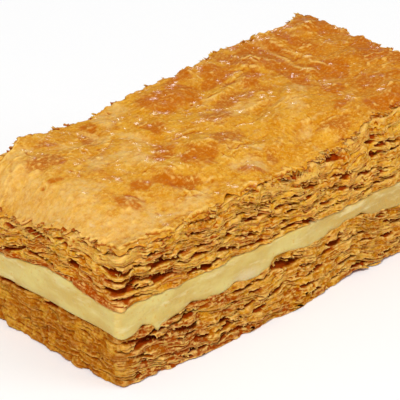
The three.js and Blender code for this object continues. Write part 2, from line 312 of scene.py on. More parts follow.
def custard_floor(x, y):
    """Height of the lower slab's top: it rises at the middle and drops again to the right."""
    along = x + 0.25 * y
    risen = 1.6 * step(along, 45, 56) - 0.9 * step(along, 96, 112)
    return LOWER_SLAB + risen + 0.8 * bell(along, 57, 5) + 1.9 * bell(along, 82, 6)


def custard_roof(x, y):
    """Height of the upper slab's underside, with a swell at the left end."""
    left_end = np.exp(-np.maximum(x, -3) / 9)
    swell = 1.9 * bell(y, 22, 10) - 1.2 * step(y, 34, 48)
    return LOWER_SLAB + CUSTARD + left_end * swell + 0.35 * lumps(x, y, 30, 3)


def crust_height(x, y):
    """Height of the solids' crust: a rising plane that slumps towards its rims."""
    plane = TOP_AT_CORNER + TOP_RISE_ALONG * x + TOP_RISE_ACROSS * y
    left_slump = (0.6 + 10.2 * y / WIDTH) * bell(x, 0, 9 - 2.5 * y / WIDTH)
    near_share = 1 - step(x, 78, 90)
    near_slump = (3 + 1.3 * np.maximum(0, 1 - x / 50)) * near_share * bell(y, 0, 11)
    back_dip = 2.1 * bell(x, 37, 13) * step(y, WIDTH * 0.45, WIDTH)
    right_slump = 0.4 * bell(x, LENGTH, 6)
    lumpy = 0.9 * lumps(x, y, 34, 7) + 0.45 * lumps(x, y, 15, 11)
    return plane - left_slump - near_slump - back_dip - right_slump + lumpy


def crust_level(x, y):
    """Height of the crust's upper face in these meshes: that of the solids, with the near rim raised
    to the left and hanging to the right, the left rim hanging, torn places and fine relief."""
    near_rim = bell(y, 0, 6) * mix((1.5, -0.9), step(x, 38, 66))
    left_rim = -2.2 * bell(x, 0, 4.5) * step(y, 20, 36)
    return crust_height(x, y) + near_rim + left_rim - LID * torn_back(x, y) + crust_relief(x, y)


# Where the crust's uppermost sheet is torn back from the rim and shows the next one: place along,
# half length and width.
TORN_BACK = (
    (0, 18, 3.4), (27.5, 5, 2.0), (43, 4, 1.5), (57.5, 5.5, 2.6), (66, 3, 1.4), (75, 5, 2.2),
    (91, 5, 1.8), (110, 6, 1.6), (-50, 4, 2.4), (150, 9, 2.2), (170, 6, 1.4), (196, 8, 1.5),
    (238, 9, 1.6), (268, 8, 1.4), (297, 7, 2.2),
)


def torn_back(x, y):
    """From a half to one where the uppermost sheet is missing, more along its edge, and nought where
    it is whole."""
    ways = np.stack(np.broadcast_arrays(y, LENGTH - x, WIDTH - y, x))
    rounds = np.stack(np.broadcast_arrays(x, LENGTH + y, 2 * LENGTH + WIDTH - x, -y))
    along = np.take_along_axis(rounds, ways.argmin(axis=0)[None], 0)[0]
    width = 0
    for place, half, widest in TORN_BACK:
        offset = lap_offset(along, place) / half
        width = np.maximum(width, widest * np.sqrt(np.maximum(0, 1 - offset**2)))
    wander = 0.9 * noise(x, y, 0, 2.6, 471) + 0.5 * noise(x, y, 0, 1.1, 473)
    edge = width * (1 + 0.35 * wander) + 0.5 * wander - 0.35 - ways.min(axis=0)
    full = 0.5 + 0.5 * step(noise(x, y, 0, 6.0, 475), -0.3, 0.4)
    return full * (step(edge, -0.2, 0.2) + 0.6 * bell(edge, 0.4, 0.25))


class Outline:
    """Columns round the slice's outline, whose corners are rounded, from the middle of its left side.

    The columns lie alike on both sides of the slice's long middle line: column i mirrors column
    count - 1 - i.
    """

    def __init__(self, count):
        sides = np.array([LENGTH, WIDTH, LENGTH, WIDTH])
        corners = np.array([(0, 0), (LENGTH, 0), (LENGTH, WIDTH), (0, WIDTH)], float)
        runs = np.array([(1, 0), (0, 1), (-1, 0), (0, -1)], float)
        outwards = np.array([(0, -1), (1, 0), (0, 1), (-1, 0)], float)
        straight = sides - 2 * CORNER_RADIUS
        starts = np.concatenate([[0], np.cumsum(straight + np.pi / 2 * CORNER_RADIUS)])
        lap = starts[-1]
        begin = lap - np.pi / 2 * CORNER_RADIUS - straight[3] / 2
        travelled = np.mod(begin + (np.arange(count) + 0.5) * lap / count, lap)
        side = np.searchsorted(starts, travelled, side="right") - 1
        here = travelled - starts[side]
        flat = np.minimum(here, straight[side])
        turn = np.maximum(here - straight[side], 0) / CORNER_RADIUS
        run, outward = runs[side], outwards[side]
        centre = corners[side] + (run - outward) * CORNER_RADIUS
        direction = np.cos(turn)[:, None] * outward + np.sin(turn)[:, None] * run
        self.count = count
        self.x, self.y = (centre + flat[:, None] * run + direction * CORNER_RADIUS).T
        self.outward = direction
        before = np.concatenate([[0], np.cumsum(sides)])
        past_corner = 2 * CORNER_RADIUS * turn / (np.pi / 2)
        self.along = np.mod(before[side] + CORNER_RADIUS + flat + past_corner, PERIMETER)
        self.near, self.right, self.back, self.left = (np.clip(direction @ outwards.T, 0, 1) ** 2).T
        self.to_corner = np.abs(self.along[:, None] - before).min(axis=1)

    def plan(self, depth):
        """Plan places at a depth inside the outline, or at an array of them whose first axis goes
        with the columns."""
        depth = np.atleast_1d(depth)
        here = self.places().reshape(self.count, *[1] * (depth.ndim - 1), 2)
        places = drawn_in(here, depth)
        return places[..., 0], places[..., 1]

    def places(self):
        """Plan places of the columns, an x and a y for each."""
        return np.stack([self.x, self.y], axis=-1)

    def noise(self, scale, seed, height=0):
        return noise(self.x, self.y, height, scale, seed)


def drawn_in(places, depth):
    """Plan places on the outline moved inwards to a depth, towards the slice's middle."""
    middle = np.array([LENGTH / 2, WIDTH / 2])
    return (places - middle) * (1 - depth[..., None] / middle) + middle


def lap_offset(along, place):
    """How far past a place the distances along are, by the shorter way round."""
    return np.mod(along - place + PERIMETER / 2, PERIMETER) - PERIMETER / 2


def spread(values, like):
    """Column values shaped to go with an array whose first axis is the columns."""
    return values.reshape(-1, *[1] * (np.ndim(like) - 1))


def torn(outline, key):
    """The random crags of the solids, which have one for each of their coarse columns."""
    ends = [0.0]
    for steps, side in zip(SOLID_STEPS * 2, (LENGTH, WIDTH) * 2):
        start = ends[-1]
        ends += [start + side * (i + 1) / steps for i in range(steps)]
    values = 2 * draw(np.arange(1, len(ends)), key) - 1
    return np.interp(outline.along, ends, np.append(values, values[0]))


def lower_lean(outline, height):
    """How far the lower slab's side stands out towards its foot, or in where it is less than 0."""
    foot = np.maximum(0, 1 - height / LOWER_SLAB)
    near = outline.near * (0.4 + 2.2 * step(outline.x, 6, 26) * (1 - step(outline.x, 62, 78)))
    back = outline.back * 1.2 * bell(outline.x, 84, 22)
    left = outline.left * (0.4 - 0.9 * step(outline.y, 24, 44))
    return foot * spread(near + back + left + 0.5 * outline.right, height)


def upper_lean(outline, height):
    """How far the upper slab's side leans in towards its top, as numbers less than 0."""
    rise = step(height, LOWER_SLAB + CUSTARD + 9, LOWER_SLAB + CUSTARD + 20)
    near = outline.near * -1.5 * step(outline.x, 55, 72)
    back = outline.back * -1.8 * bell(outline.x, 62, 20)
    ends = -0.6 * (outline.left + outline.right)
    return rise * spread(near + back + ends, height)


class Slab:
    """What the two slabs of pastry differ in.

    left_open and right_open say how open the gaps between the leaves are at the ends, foot whether
    the lower edge is lifted here and there, folds how folded the left end is, hangs whether the
    lowest leaf hangs down and is thick, smooth_right how smooth the right half is, and dull_end
    whether the left end has the dull look.
    """

    def __init__(self, **traits):
        self.__dict__.update(traits)

    def openness(self, outline):
        """How open the gaps between the leaves are round the plan: fully on the long sides."""
        return 1 - outline.left * (1 - self.left_open) - outline.right * (1 - self.right_open)

    def edge(self, outline, leaf):
        """How far the edge of a leaf stands out, as in the solids."""
        key = self.seed + leaf * 3
        wavy = sum(0.6 * wobble(outline.along, wave, key + i) for i, wave in enumerate(EDGE_WAVES))
        crags = RIM_CRAGS if leaf > self.joints else LEAF_CRAGS
        return LEAF_RELIEF * wavy + crags * torn(outline, key)


LOWER = Slab(
    name="lower_leaves", seed=100, joints=5, hollows=LOWER_HOLLOWS, crust=0.0, lid=0.0, lean=lower_lean,
    floor=lambda x, y: 0 * x, roof=lambda x, y: custard_floor(x, y) - GAP / 2,
    left_open=0.3, right_open=0.5, sheets=LOWER_SHEETS, rows=LOWER_ROWS, foot=1.0, folds=0.7,
    smooth_right=0.3, hangs=0.0, dull_end=1.0)
UPPER = Slab(
    name="upper_leaves", seed=500, joints=6, hollows=UPPER_HOLLOWS, crust=CRUST, lid=LID, lean=upper_lean,
    floor=lambda x, y: custard_roof(x, y) + GAP / 2, roof=crust_level,
    left_open=0.5, right_open=1.0, sheets=UPPER_SHEETS, rows=UPPER_ROWS, foot=0.0, folds=1.25,
    smooth_right=0.0, hangs=1.0, dull_end=0.0)


# ---------------------------------------------------------------------------------------------
# Hollows between the leaves.

def lens(along, middle, length):
    """One in the middle of a stretch, falling in a half ellipse to nought at its ends."""
    offset = (along - middle) / (length / 2)
    return np.sqrt(np.maximum(0, 1 - offset * offset))


def joint_opening(outline, joint, slab):
    """Gape and depth of a joint between two leaves, as in the solids."""
    stretches = int(np.floor(PERIMETER / HOLLOW_STRETCH + 0.5))
    stretch = PERIMETER / stretches
    stagger = 0 if joint % 2 else 0.5
    home = np.floor(outline.along / stretch - stagger).astype(int)
    gape = np.zeros(outline.count)
    depth = np.zeros(outline.count)
    for cell in (home - 1, home, home + 1):
        key = slab.seed + joint * 7 + np.mod(cell, stretches) * 13
        middle = (cell + stagger + 0.5 + 0.3 * (draw(key, 2) - 0.5)) * stretch
        opened = lens(outline.along, middle, mix(HOLLOW_LENGTH, draw(key, 3)))
        opened = opened * slab.openness(outline) * (draw(key, 1) <= HOLLOW_SHARE)
        gape = np.maximum(gape, opened * mix(HOLLOW_GAPE, draw(key, 4)))
        depth = np.maximum(depth, opened * mix(HOLLOW_DEPTH, draw(key, 5)))
    for at_joint, middle, length, widest, deepest in slab.hollows:
        if at_joint == joint:
            opened = lens(outline.along, middle, length) * (outline.near > 0)
            gape = np.maximum(gape, opened * widest)
            depth = np.maximum(depth, opened * deepest)
    return gape, np.minimum(depth, CORNER_DEPTH + DEPTH_FROM_CORNER * outline.to_corner)


class SideField:
    """A field through the outer few millimetres of a slab, positive where there is pastry.

    Its grid has the outline's columns, rows from under the slab's floor to over its roof, and
    depths inwards. The field is about the distance to the surface in millimetres.
    """

    def __init__(self, outline, slab):
        self.outline, self.slab = outline, slab
        self.x, self.y = (v[:, None, :] for v in outline.plan(SIDE_DEPTHS[None]))
        ragged = 1 + 0.5 * outline.noise(0.9, 57)
        tongue = bell(lap_offset(outline.along, TONGUE_PLACE), 0, TONGUE_WIDTH) * ragged
        self.tongue = tongue[:, None, None]
        outside = step(-SIDE_DEPTHS, 0.95, 1.25)
        self.floor = slab.floor(self.x, self.y) - slab.hangs * TONGUE * self.tongue * outside
        self.roof = slab.roof(self.x, self.y) - slab.lid
        thick = self.roof - self.floor
        margin = ROW_MARGIN / thick.mean()
        share = np.linspace(-margin, 1 + margin, slab.rows)[None, :, None]
        self.z = self.floor + share * thick
        self.share = np.broadcast_to(share, self.z.shape)
        self.calm = 1 - step(SIDE_DEPTHS, *CALM_DEPTH)[None, None, :]
        self.ends = outline.left[:, None, None]
        self.sheet_pitch = thick / slab.sheets
        self.build()

    def noise(self, scale, seed, octaves=1):
        return fractal(self.x, self.y, self.z, scale, self.slab.seed + seed, octaves)

    def in_sheet(self, sheet, scale, seed):
        """Noise that runs along a sheet and differs from one sheet to the next."""
        return noise(self.x, self.y, sheet * 31.7 * scale, scale, self.slab.seed + seed)

    def build(self):
        """Lay the joints between the leaves, then the sheets, and cut the gaps between them."""
        outline, slab = self.outline, self.slab
        joints = range(1, slab.joints + 1)
        pitch = (self.roof + slab.lid - slab.crust - self.floor) / (slab.joints + 1)
        waves = [
            wobble(outline.along, JOINT_WAVE, slab.seed + joint + 50)[:, None, None] for joint in joints]
        heights = [self.floor + pitch * (j + JOINT_WOBBLE * w) for j, w in zip(joints, waves)]
        openings = [joint_opening(outline, joint, slab) for joint in joints]
        lip = slab.hangs * self.ends * (1 - step(self.share, *END_LIP_TOP))
        warp = SHEET_WARP * self.noise(7, 43, 2) * (1 + 1.6 * slab.folds * self.ends)
        self.sheet = self.share * slab.sheets + warp + SHEET_FALL * self.x / self.sheet_pitch
        corner = bell(lap_offset(outline.along, 1), 0, 9)[:, None, None]
        smooth_right = slab.smooth_right * step(self.x, 50, 75)
        smooth = (1 - 0.65 * corner) * (1 - smooth_right) * (1 - 0.6 * lip)
        self.rough = (1 + 0.7 * self.noise(14, 47, 2)) * smooth
        self.teeth = self.noise(TOOTH[0], 51) * (1 - 0.6 * corner)
        self.inwards = SIDE_DEPTHS + self.stand(heights, lip) + 0 * self.z
        inside = self.inwards + self.rough * self.torn_sheets()
        for height, (_, depth) in zip(heights, openings):
            above = np.clip((self.z - height) / pitch, -1, 1)
            overhang = LIP_OVERHANG * spread(depth, inside) / HOLLOW_DEPTH[1]
            inside = inside + overhang * (1 - above) * (above > 0)
        field = inside.copy()
        for height, (gape, depth) in zip(heights, openings):
            gape = np.minimum(spread(gape, field), WIDEST_GAPE * pitch)
            field = self.opened(field, inside, self.z - height, gape, spread(depth, field), self.teeth)
        field = self.parted_sheets(field, inside)
        field = self.slit(field, inside)
        self.field = one_body(self.ended(self.crumbly(field)))
        self.surface = self.outermost()

    def stand(self, heights, lip):
        """How far the side stands out: each leaf's own edge, its lean, waves, folds and lip."""
        outline, slab = self.outline, self.slab
        leaf = sum((self.z > height).astype(int) for height in heights)
        edges = np.array([slab.edge(outline, i) for i in range(slab.joints + 1)])
        stand = edges[leaf, np.arange(outline.count)[:, None, None]]
        stand = stand + slab.lean(outline, self.z)
        stand = stand + SIDE_WAVES[1] * self.noise(SIDE_WAVES[0], 41, 2)
        folds = END_FOLDS[1] * self.noise(END_FOLDS[0], 48, 2)
        folds = folds + END_CREASES[1] * self.noise(END_CREASES[0], 49)
        stand = stand + slab.folds * self.ends * folds
        stand = stand + slab.hangs * TONGUE_STAND * self.tongue * (1 - step(self.share, *TONGUE_TOP))
        return stand + END_LIP * lip * (1 - self.tongue)

    def torn_sheets(self):
        """How far each sheet's torn edge lies in front of the side or behind it."""
        return sum(
            size * self.in_sheet(np.floor(self.sheet), scale, 45 + i)
            for i, (scale, size) in enumerate(SHEET_TEARS))

    def crumbly(self, field):
        """The field with crumb and pits."""
        crumb = sum(size * self.noise(scale, 61 + i) for i, (scale, size) in enumerate(CRUMB))
        field = field + self.rough * crumb
        pits = step(self.noise(PITS[0], 65), 0.5, 0.85) * (self.inwards < 1.6)
        return field - PITS[1] * pits

    def ended(self, field):
        """The field cut off at the slab's floor and roof."""
        floor = self.floor + self.slab.foot * self.lifted_foot()
        ledge = 0.3 * self.noise(1.8, 67, 2) * self.calm
        ends = np.minimum(self.z - floor, self.roof + ledge - self.z)
        field = np.minimum(field, ends)
        field[:, :, -2:] = ends[:, :, -2:]
        return field

    def opened(self, field, inside, rise, gape, depth, teeth):
        """The field with a hollow of this gape and depth cut into it round a height, whose upper
        lip is toothed."""
        deep = np.maximum(depth, 0.05)
        half = gape / 2 * np.sqrt(np.maximum(0, 1 - (inside / deep) ** 2))
        half = half * (1 + np.where(rise > 0, TOOTH[1] * 2 * teeth, 0))
        away = np.where(inside < deep, np.abs(rise) - half, np.maximum(np.abs(rise), inside - deep))
        return np.where((gape > 0.02) & (depth > 0.05), np.minimum(field, away), field)

    def parted_sheets(self, field, inside):
        """Thin gaps between the sheets, open in some places and shut in others."""
        between = np.round(self.sheet)
        opened = step(self.in_sheet(between, 3.0, 53), 0.24, 0.62)
        calm = self.slab.openness(self.outline) * (1 - 0.3 * self.outline.near)
        opened = opened * spread(calm, opened)
        rise = (self.sheet - between) * self.sheet_pitch
        gape, depth = mix(SHEET_GAPE, opened), mix(SHEET_DEPTH, opened)
        return self.opened(field, inside, rise, gape, depth, self.teeth)

    def slit(self, field, inside):
        """The field with its own short slits, which wander up and down."""
        wander = SLIT_WANDER[1] * self.in_sheet(0, SLIT_WANDER[0], 56)
        near_slits = [(*row, SLIT_FALL) for row in NEAR_SLITS]
        for place, height, length, gape, depth, slope in (*near_slits, *CORNER_SLITS):
            offset = lap_offset(self.outline.along, place)
            columns = np.abs(offset) < length / 2
            if not self.z[columns].min() < height < self.z[columns].max():
                continue
            here = lens(offset[columns], 0, length)[:, None, None]
            tilt = slope * offset[columns][:, None, None]
            rise = self.z[columns] - height - tilt - wander[columns]
            field[columns] = self.opened(
                field[columns], inside[columns], rise, SLIT_WIDENED * gape * here, depth * here,
                self.teeth[columns])
        return field

    def outermost(self):
        """Depth of the outermost pastry in each column and row."""
        solid = self.field > 0
        first = np.maximum(solid.argmax(axis=2), 1)
        columns, rows = np.indices(first.shape)
        outer = self.field[columns, rows, first - 1]
        inner = self.field[columns, rows, first]
        share = np.clip(outer / np.minimum(outer - inner, -1e-6), 0, 1)
        depth = SIDE_DEPTHS[first - 1] + share * (SIDE_DEPTHS[first] - SIDE_DEPTHS[first - 1])
        return np.where(solid.any(axis=2), depth, SIDE_DEPTHS[-1])

    def lifted_foot(self):
        """How far the slab's lower edge is off what it stands on: uneven, and only near its edge."""
        bitten = 0.5 * np.maximum(0, noise(self.x, self.y, 0, 5.0, 71))
        raised = 1.3 * bell(self.x, 88, 8) * spread(self.outline.near, self.x)
        return (bitten + raised + 0.15) * (1 - step(SIDE_DEPTHS, 0.5, 3.0))


def reached(free, start):
    """The free places of a grid that can be reached from the starting ones."""
    found = start & free
    while True:
        grown = found | np.roll(found, 1, 0) | np.roll(found, -1, 0)
        grown[:, 1:] |= found[:, :-1]
        grown[:, :-1] |= found[:, 1:]
        grown[:, :, 1:] |= found[:, :, :-1]
        grown[:, :, :-1] |= found[:, :, 1:]
        grown &= free
        if grown.sum() == found.sum():
            return found
        found = grown


def one_body(field):
    """The field without loose scraps and sealed hollows."""
    inner = np.zeros(field.shape, bool)
    inner[:, :, -1] = True
    outer = np.zeros(field.shape, bool)
    outer[:, :, 0] = outer[:, 0] = outer[:, -1] = True
    solid = field > 0
    field = np.where(solid & ~reached(solid, inner), -0.1, field)
    return np.where(~solid & ~reached(~solid, outer), 0.1, field)


# ---------------------------------------------------------------------------------------------
# Surfaces from fields, and how they are closed.

def surface_net(field, values):
    """Points and quads round the solid part of a field on a grid whose first direction is closed.

    Each cell that the surface crosses gets one point, the mean of the crossings on the cell's
    edges, and each grid edge that is crossed gets one quad. The values are carried to the points.
    Also gives the number of each cell's point, or -1.
    """
    solid = field > 0
    columns, rows, depths = field.shape
    corners = list(np.ndindex(2, 2, 2))
    count = np.zeros((columns, rows - 1, depths - 1), np.int8)
    for a, b, c in corners:
        count += np.roll(solid, -a, axis=0)[:, b:rows - 1 + b, c:depths - 1 + c]
    crossed = (count > 0) & (count < 8)
    number = np.full(crossed.shape, -1)
    number[crossed] = np.arange(crossed.sum())
    cell = np.nonzero(crossed)

    def at(grid, corner):
        return grid[(cell[0] + corner[0]) % columns, cell[1] + corner[1], cell[2] + corner[2]]

    points = np.zeros((len(cell[0]), values.shape[-1]))
    crossings = np.zeros(len(cell[0]))
    for axis in range(3):
        for corner in corners:
            if corner[axis]:
                continue
            other = tuple(c + (i == axis) for i, c in enumerate(corner))
            a, b = at(field, corner), at(field, other)
            cut = (a > 0) != (b > 0)
            share = np.where(cut, a / np.where(cut, a - b, 1), 0)[:, None]
            between = at(values, corner) * (1 - share) + at(values, other) * share
            points += between * cut[:, None]
            crossings += cut
    return points / crossings[:, None], net_quads(solid, number), number


def net_quads(solid, number):
    """A quad for each grid edge that the surface crosses, facing out of the solid."""
    quads = []
    behind = np.roll(number, 1, axis=0)
    ring = solid != np.roll(solid, -1, axis=0)
    i, j, k = np.nonzero(ring[:, 1:-1, 1:-1])
    corners = [number[i, j, k], number[i, j + 1, k], number[i, j + 1, k + 1], number[i, j, k + 1]]
    quads.append((corners, solid[i, j + 1, k + 1]))
    up = solid[:, 1:] != solid[:, :-1]
    i, j, k = np.nonzero(up[:, :, 1:-1])
    corners = [behind[i, j, k], behind[i, j, k + 1], number[i, j, k + 1], number[i, j, k]]
    quads.append((corners, solid[i, j, k + 1]))
    inward = solid[:, :, 1:] != solid[:, :, :-1]
    i, j, k = np.nonzero(inward[:, 1:-1])
    corners = [behind[i, j, k], number[i, j, k], number[i, j + 1, k], behind[i, j + 1, k]]
    quads.append((corners, solid[i, j + 1, k]))
    faces = []
    for corners, outward in quads:
        quad = np.stack(corners, axis=-1)
        faces.append(np.where(outward[:, None], quad[:, ::-1], quad))
    return np.concatenate(faces)


def as_triangles(quads):
    """Quads cut into triangles, without those that have no area."""
    triangles = np.concatenate([quads[:, [0, 1, 2]], quads[:, [0, 2, 3]]])
    a, b, c = triangles.T
    return triangles[(a != b) & (b != c) & (c != a)]


def lap_quads(lower, upper):
    """Quads between two laps of point numbers, one above the other, facing out."""
    return np.stack([lower, np.roll(lower, -1), np.roll(upper, -1), upper], axis=-1)


def ridge_lap(first, count):
    """Point numbers of a lap shut along the slice's middle line: mirrored columns share a point."""
    columns = np.arange(count)
    return first + np.minimum(columns, count - 1 - columns)


class Body:
    """Points, point values and quads gathered for one mesh, in millimetres."""

    def __init__(self, width):
        self.points, self.values, self.quads = np.zeros((0, 3)), np.zeros((0, width)), []

    def add_points(self, points, values):
        """Add points that share these values, or have a row of them each. Gives the first number."""
        first = len(self.points)
        rows = np.broadcast_to(values, (len(points), self.values.shape[1]))
        self.points = np.concatenate([self.points, points])
        self.values = np.concatenate([self.values, rows])
        return first

    def add_lap(self, outline, points, values):
        """Add a point for each of the outline's columns. Gives their numbers."""
        return self.add_points(points, values) + np.arange(outline.count)

    def shut(self, outline, rim, insets, height, values, upwards):
        """Laps from a rim of point numbers in to the slice's middle line."""
        for inset in [*insets, WIDTH / 2 - 0.01]:
            last = inset > WIDTH / 2 - 0.1
            x, y = outline.plan(inset)
            points = np.stack([x, y, height(x, y)], axis=-1)
            if last:
                half = points[: (outline.count + 1) // 2]
                lap = ridge_lap(self.add_points(half, values), outline.count)
            else:
                lap = self.add_lap(outline, points, values)
            self.quads.append(lap_quads(rim, lap) if upwards else lap_quads(lap, rim))
            rim = lap

    def triangles(self):
        return as_triangles(np.concatenate(self.quads))


def corner_normals(points, triangles):
    a, b, c = (points[triangles[:, i]] for i in range(3))
    across = np.cross(b - a, c - a)
    total = np.zeros_like(points)
    for i in range(3):
        for axis in range(3):
            total[:, axis] += np.bincount(triangles[:, i], across[:, axis], len(points))
    return total / np.maximum(np.linalg.norm(total, axis=1), 1e-9)[:, None]


def cavity(points, triangles, rounds=3):
    """How far each point stands proud of those round it, in millimetres: less than 0 in a pit."""
    ends = np.concatenate([triangles[:, [0, 1]], triangles[:, [1, 2]], triangles[:, [2, 0]]])
    a, b = np.concatenate([ends, ends[:, ::-1]]).T
    beside = np.maximum(np.bincount(a, minlength=len(points)), 1)
    smooth = points
    for _ in range(rounds):
        smooth = np.stack(
            [np.bincount(a, smooth[b, axis], len(points)) / beside for axis in range(3)], axis=-1)
    return ((points - smooth) * corner_normals(points, triangles)).sum(axis=1)


def make_object(name, points, triangles, look, material, smooth=True):
    """A mesh object from points in millimetres, triangles and four colour values for each point,
    thinned out where it has too many triangles."""
    mesh = bpy.data.meshes.new(name)
    mesh.vertices.add(len(points))
    mesh.vertices.foreach_set("co", ((points + Place.origin) * MM).astype(np.float32).ravel())
    mesh.loops.add(triangles.size)
    mesh.loops.foreach_set("vertex_index", triangles.astype(np.int32).ravel())
    mesh.polygons.add(len(triangles))
    mesh.polygons.foreach_set("loop_start", np.arange(0, triangles.size, 3, dtype=np.int32))
    mesh.polygons.foreach_set("loop_total", np.full(len(triangles), 3, np.int32))
    mesh.update(calc_edges=True)
    mesh.validate()
    attribute = mesh.color_attributes.new("look", "FLOAT_COLOR", "POINT")
    attribute.data.foreach_set("color", np.clip(look, 0, 1).astype(np.float32).ravel())
    mesh.polygons.foreach_set("use_smooth", np.full(len(triangles), smooth))
    mesh.materials.append(material)
    thing = bpy.data.objects.new(name, mesh)
    bpy.context.scene.collection.objects.link(thing)
    if len(triangles) > MOST_TRIANGLES:
        thin_out(thing, MOST_TRIANGLES / len(triangles))
    return thing


def thin_out(thing, share):
    """Leave this share of a mesh's triangles, the fewest where it is flat."""
    modifier = thing.modifiers.new("fewer", "DECIMATE")
    modifier.ratio = share
    thinned = thing.evaluated_get(bpy.context.evaluated_depsgraph_get())
    full = thing.data
    thing.data = bpy.data.meshes.new_from_object(thinned)
    thing.modifiers.clear()
    bpy.data.meshes.remove(full)


class Place:
    """Where the slice's near left corner lies in the frame, in millimetres."""

    origin = np.zeros(3)

    @classmethod
    def over_solid(cls, node, points):
        """Lay the plan so that these points are centred on a node of the frame."""
        low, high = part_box(node)
        middle = np.array([low.x + high.x, low.y + high.y]) / 2 / MM
        own = (points[:, :2].min(axis=0) + points[:, :2].max(axis=0)) / 2
        cls.origin = np.array([*(middle - own), 0.0])


# ---------------------------------------------------------------------------------------------
# The slabs' leaves.

def end_share(x):
    """How near a place is to the left end: from one there to nought 6 mm inwards."""
    return step(6 - x, 0, 6)


def leaf_look(slab, points, triangles, inwards, sheet, share):
    """Colour values of the leaves: hollow, the painted shade in the hollows and under overhangs, edge,
    which is a painted highlight on proud points and painted shade in pits, tone and dullness.
    """
    x, y, z = points.T
    # Painted shade: hollow darkens the hollows, less just under the roof, and darkens faces that look down
    # by half.
    hanging = step(-corner_normals(points, triangles)[:, 2], 0.1, 0.9)
    hollow = np.maximum(step(inwards, 0.2, 1.3) * (1 - 0.7 * step(share, 0.93, 0.98)), 0.5 * hanging)
    # Painted highlight and shade: edge rises over a half where a point stands proud and falls below it in
    # pits.
    edge = 0.5 + 1.9 * cavity(points, triangles)
    tone = 0.5 + 0.25 * noise(x, y, np.floor(sheet) * 190, 6.0, slab.seed + 81)
    tone = tone + 0.5 * fractal(x, y, z, 5.0, slab.seed + 83)
    tone = tone + mix((-0.08, 0.08), step(x, 20, 60))
    left_end = end_share(x)
    if slab is LOWER:
        tone = tone - 0.1 * left_end - 0.3 * (1 - step(share, 0.0, 0.25))
        tone = tone - 0.28 * step(-x, -45, -15)
    else:
        tone = tone + mix((0.2, 0.5), step(18 - x, 0, 10)) * step(share, 0.72, 0.9)
        # Painted shade: the foot of the upper slab's left end, just over the custard, is darkened.
        tone = tone - 0.4 * left_end * (1 - step(share, 0.08, 0.16))
    return np.stack([hollow, edge, tone, slab.dull_end * left_end], axis=-1)


def leaves(slab, material):
    """A slab's leaves: torn sides from its field, and plain faces above and below."""
    outline = Outline(SIDE_COLUMNS)
    side = SideField(outline, slab)
    grids = (side.x + 0 * side.z, side.y + 0 * side.z, side.z, side.inwards, side.sheet, side.share)
    found, quads, number = surface_net(side.field, np.stack(grids, axis=-1))
    body = Body(3)
    body.add_points(found[:, :3], found[:, 3:])
    body.quads.append(quads)
    inner = number[:, :, -1]
    columns = np.arange(outline.count)
    bottom = inner[columns, (inner >= 0).argmax(axis=1)]
    top = inner[columns, inner.shape[1] - 1 - (inner >= 0)[:, ::-1].argmax(axis=1)]
    deep = SIDE_DEPTHS[-1]

    def under_lid(x, y):
        return slab.roof(x, y) - 2 * slab.lid

    body.shut(outline, top, INSETS, under_lid, (deep, slab.sheets, 1.0), True)
    body.shut(outline, bottom, INSETS, slab.floor, (deep, 0.0, 0.0), False)
    triangles = body.triangles()
    look = leaf_look(slab, body.points, triangles, *body.values.T)
    return make_object(slab.name, body.points, triangles, look, material), side


# ---------------------------------------------------------------------------------------------
# Loose flakes and the edges of single sheets.

# A small flake's points across and outwards, and how many flakes there are: along the lips of each
# slab's leaves, and along the crust's rim.
SMALL_FLAKE = (5, 3)
LIP_FLAKES = {"upper_leaves": 1100, "lower_leaves": 650}
RIM_FLAKES = 700
# Their least and greatest length across, reach, thickness and droop, and how much they curl.
LIP_FLAKE_SIZES = ((0.5, 2.0), (0.1, 0.45), (0.1, 0.25), (0.0, 0.35), 0.5)
RIM_FLAKE_SIZES = ((0.6, 2.4), (0.6, 1.5), (0.12, 0.3), (-0.2, 0.5), 0.6)

# The edges of single sheets: points along each, their sizes, and their section: how far out, up and
# down with the droop each corner lies, with its values of hollow and edge, which paint shade on the
# underside and a highlight on the outer top corner.
SHEET_EDGES = {"upper_leaves": 620, "lower_leaves": 380}
EDGE_POINTS = 21
EDGE_LENGTH = (3.0, 13.0)
EDGE_REACH = (0.05, 0.4)
EDGE_THICKNESS = (0.16, 0.32)
EDGE_PROFILE = ((-0.4, -0.6, 0), (1.0, -0.3, 1), (1.06, 0.2, 1), (-0.4, 0.6, 0))
EDGE_LOOK = ((0.6, 0.5), (0.45, 0.5), (0.0, 0.66), (0.0, 0.5))


def flake_pattern(columns, rows):
    """A closed thin pillow over a small grid: for each point its place across and outwards and
    its side, 1 above, -1 below and 0 round the rim, and its triangles."""
    number, spots, quads = {}, [], []
    for side in (1, -1):
        for i in range(columns):
            for j in range(rows):
                rim = i in (0, columns - 1) or j in (0, rows - 1)
                key = (i, j, 0 if rim else side)
                if key not in number:
                    number[key] = len(spots)
                    spots.append((2 * i / (columns - 1) - 1, j / (rows - 1), key[2]))
        for i in range(columns - 1):
            for j in range(rows - 1):
                quad = [
                    number[a, b, 0 if a in (0, columns - 1) or b in (0, rows - 1) else side]
                    for a, b in ((i, j), (i + 1, j), (i + 1, j + 1), (i, j + 1))]
                quads.append(quad[::-side])
    return np.array(spots), as_triangles(np.array(quads))


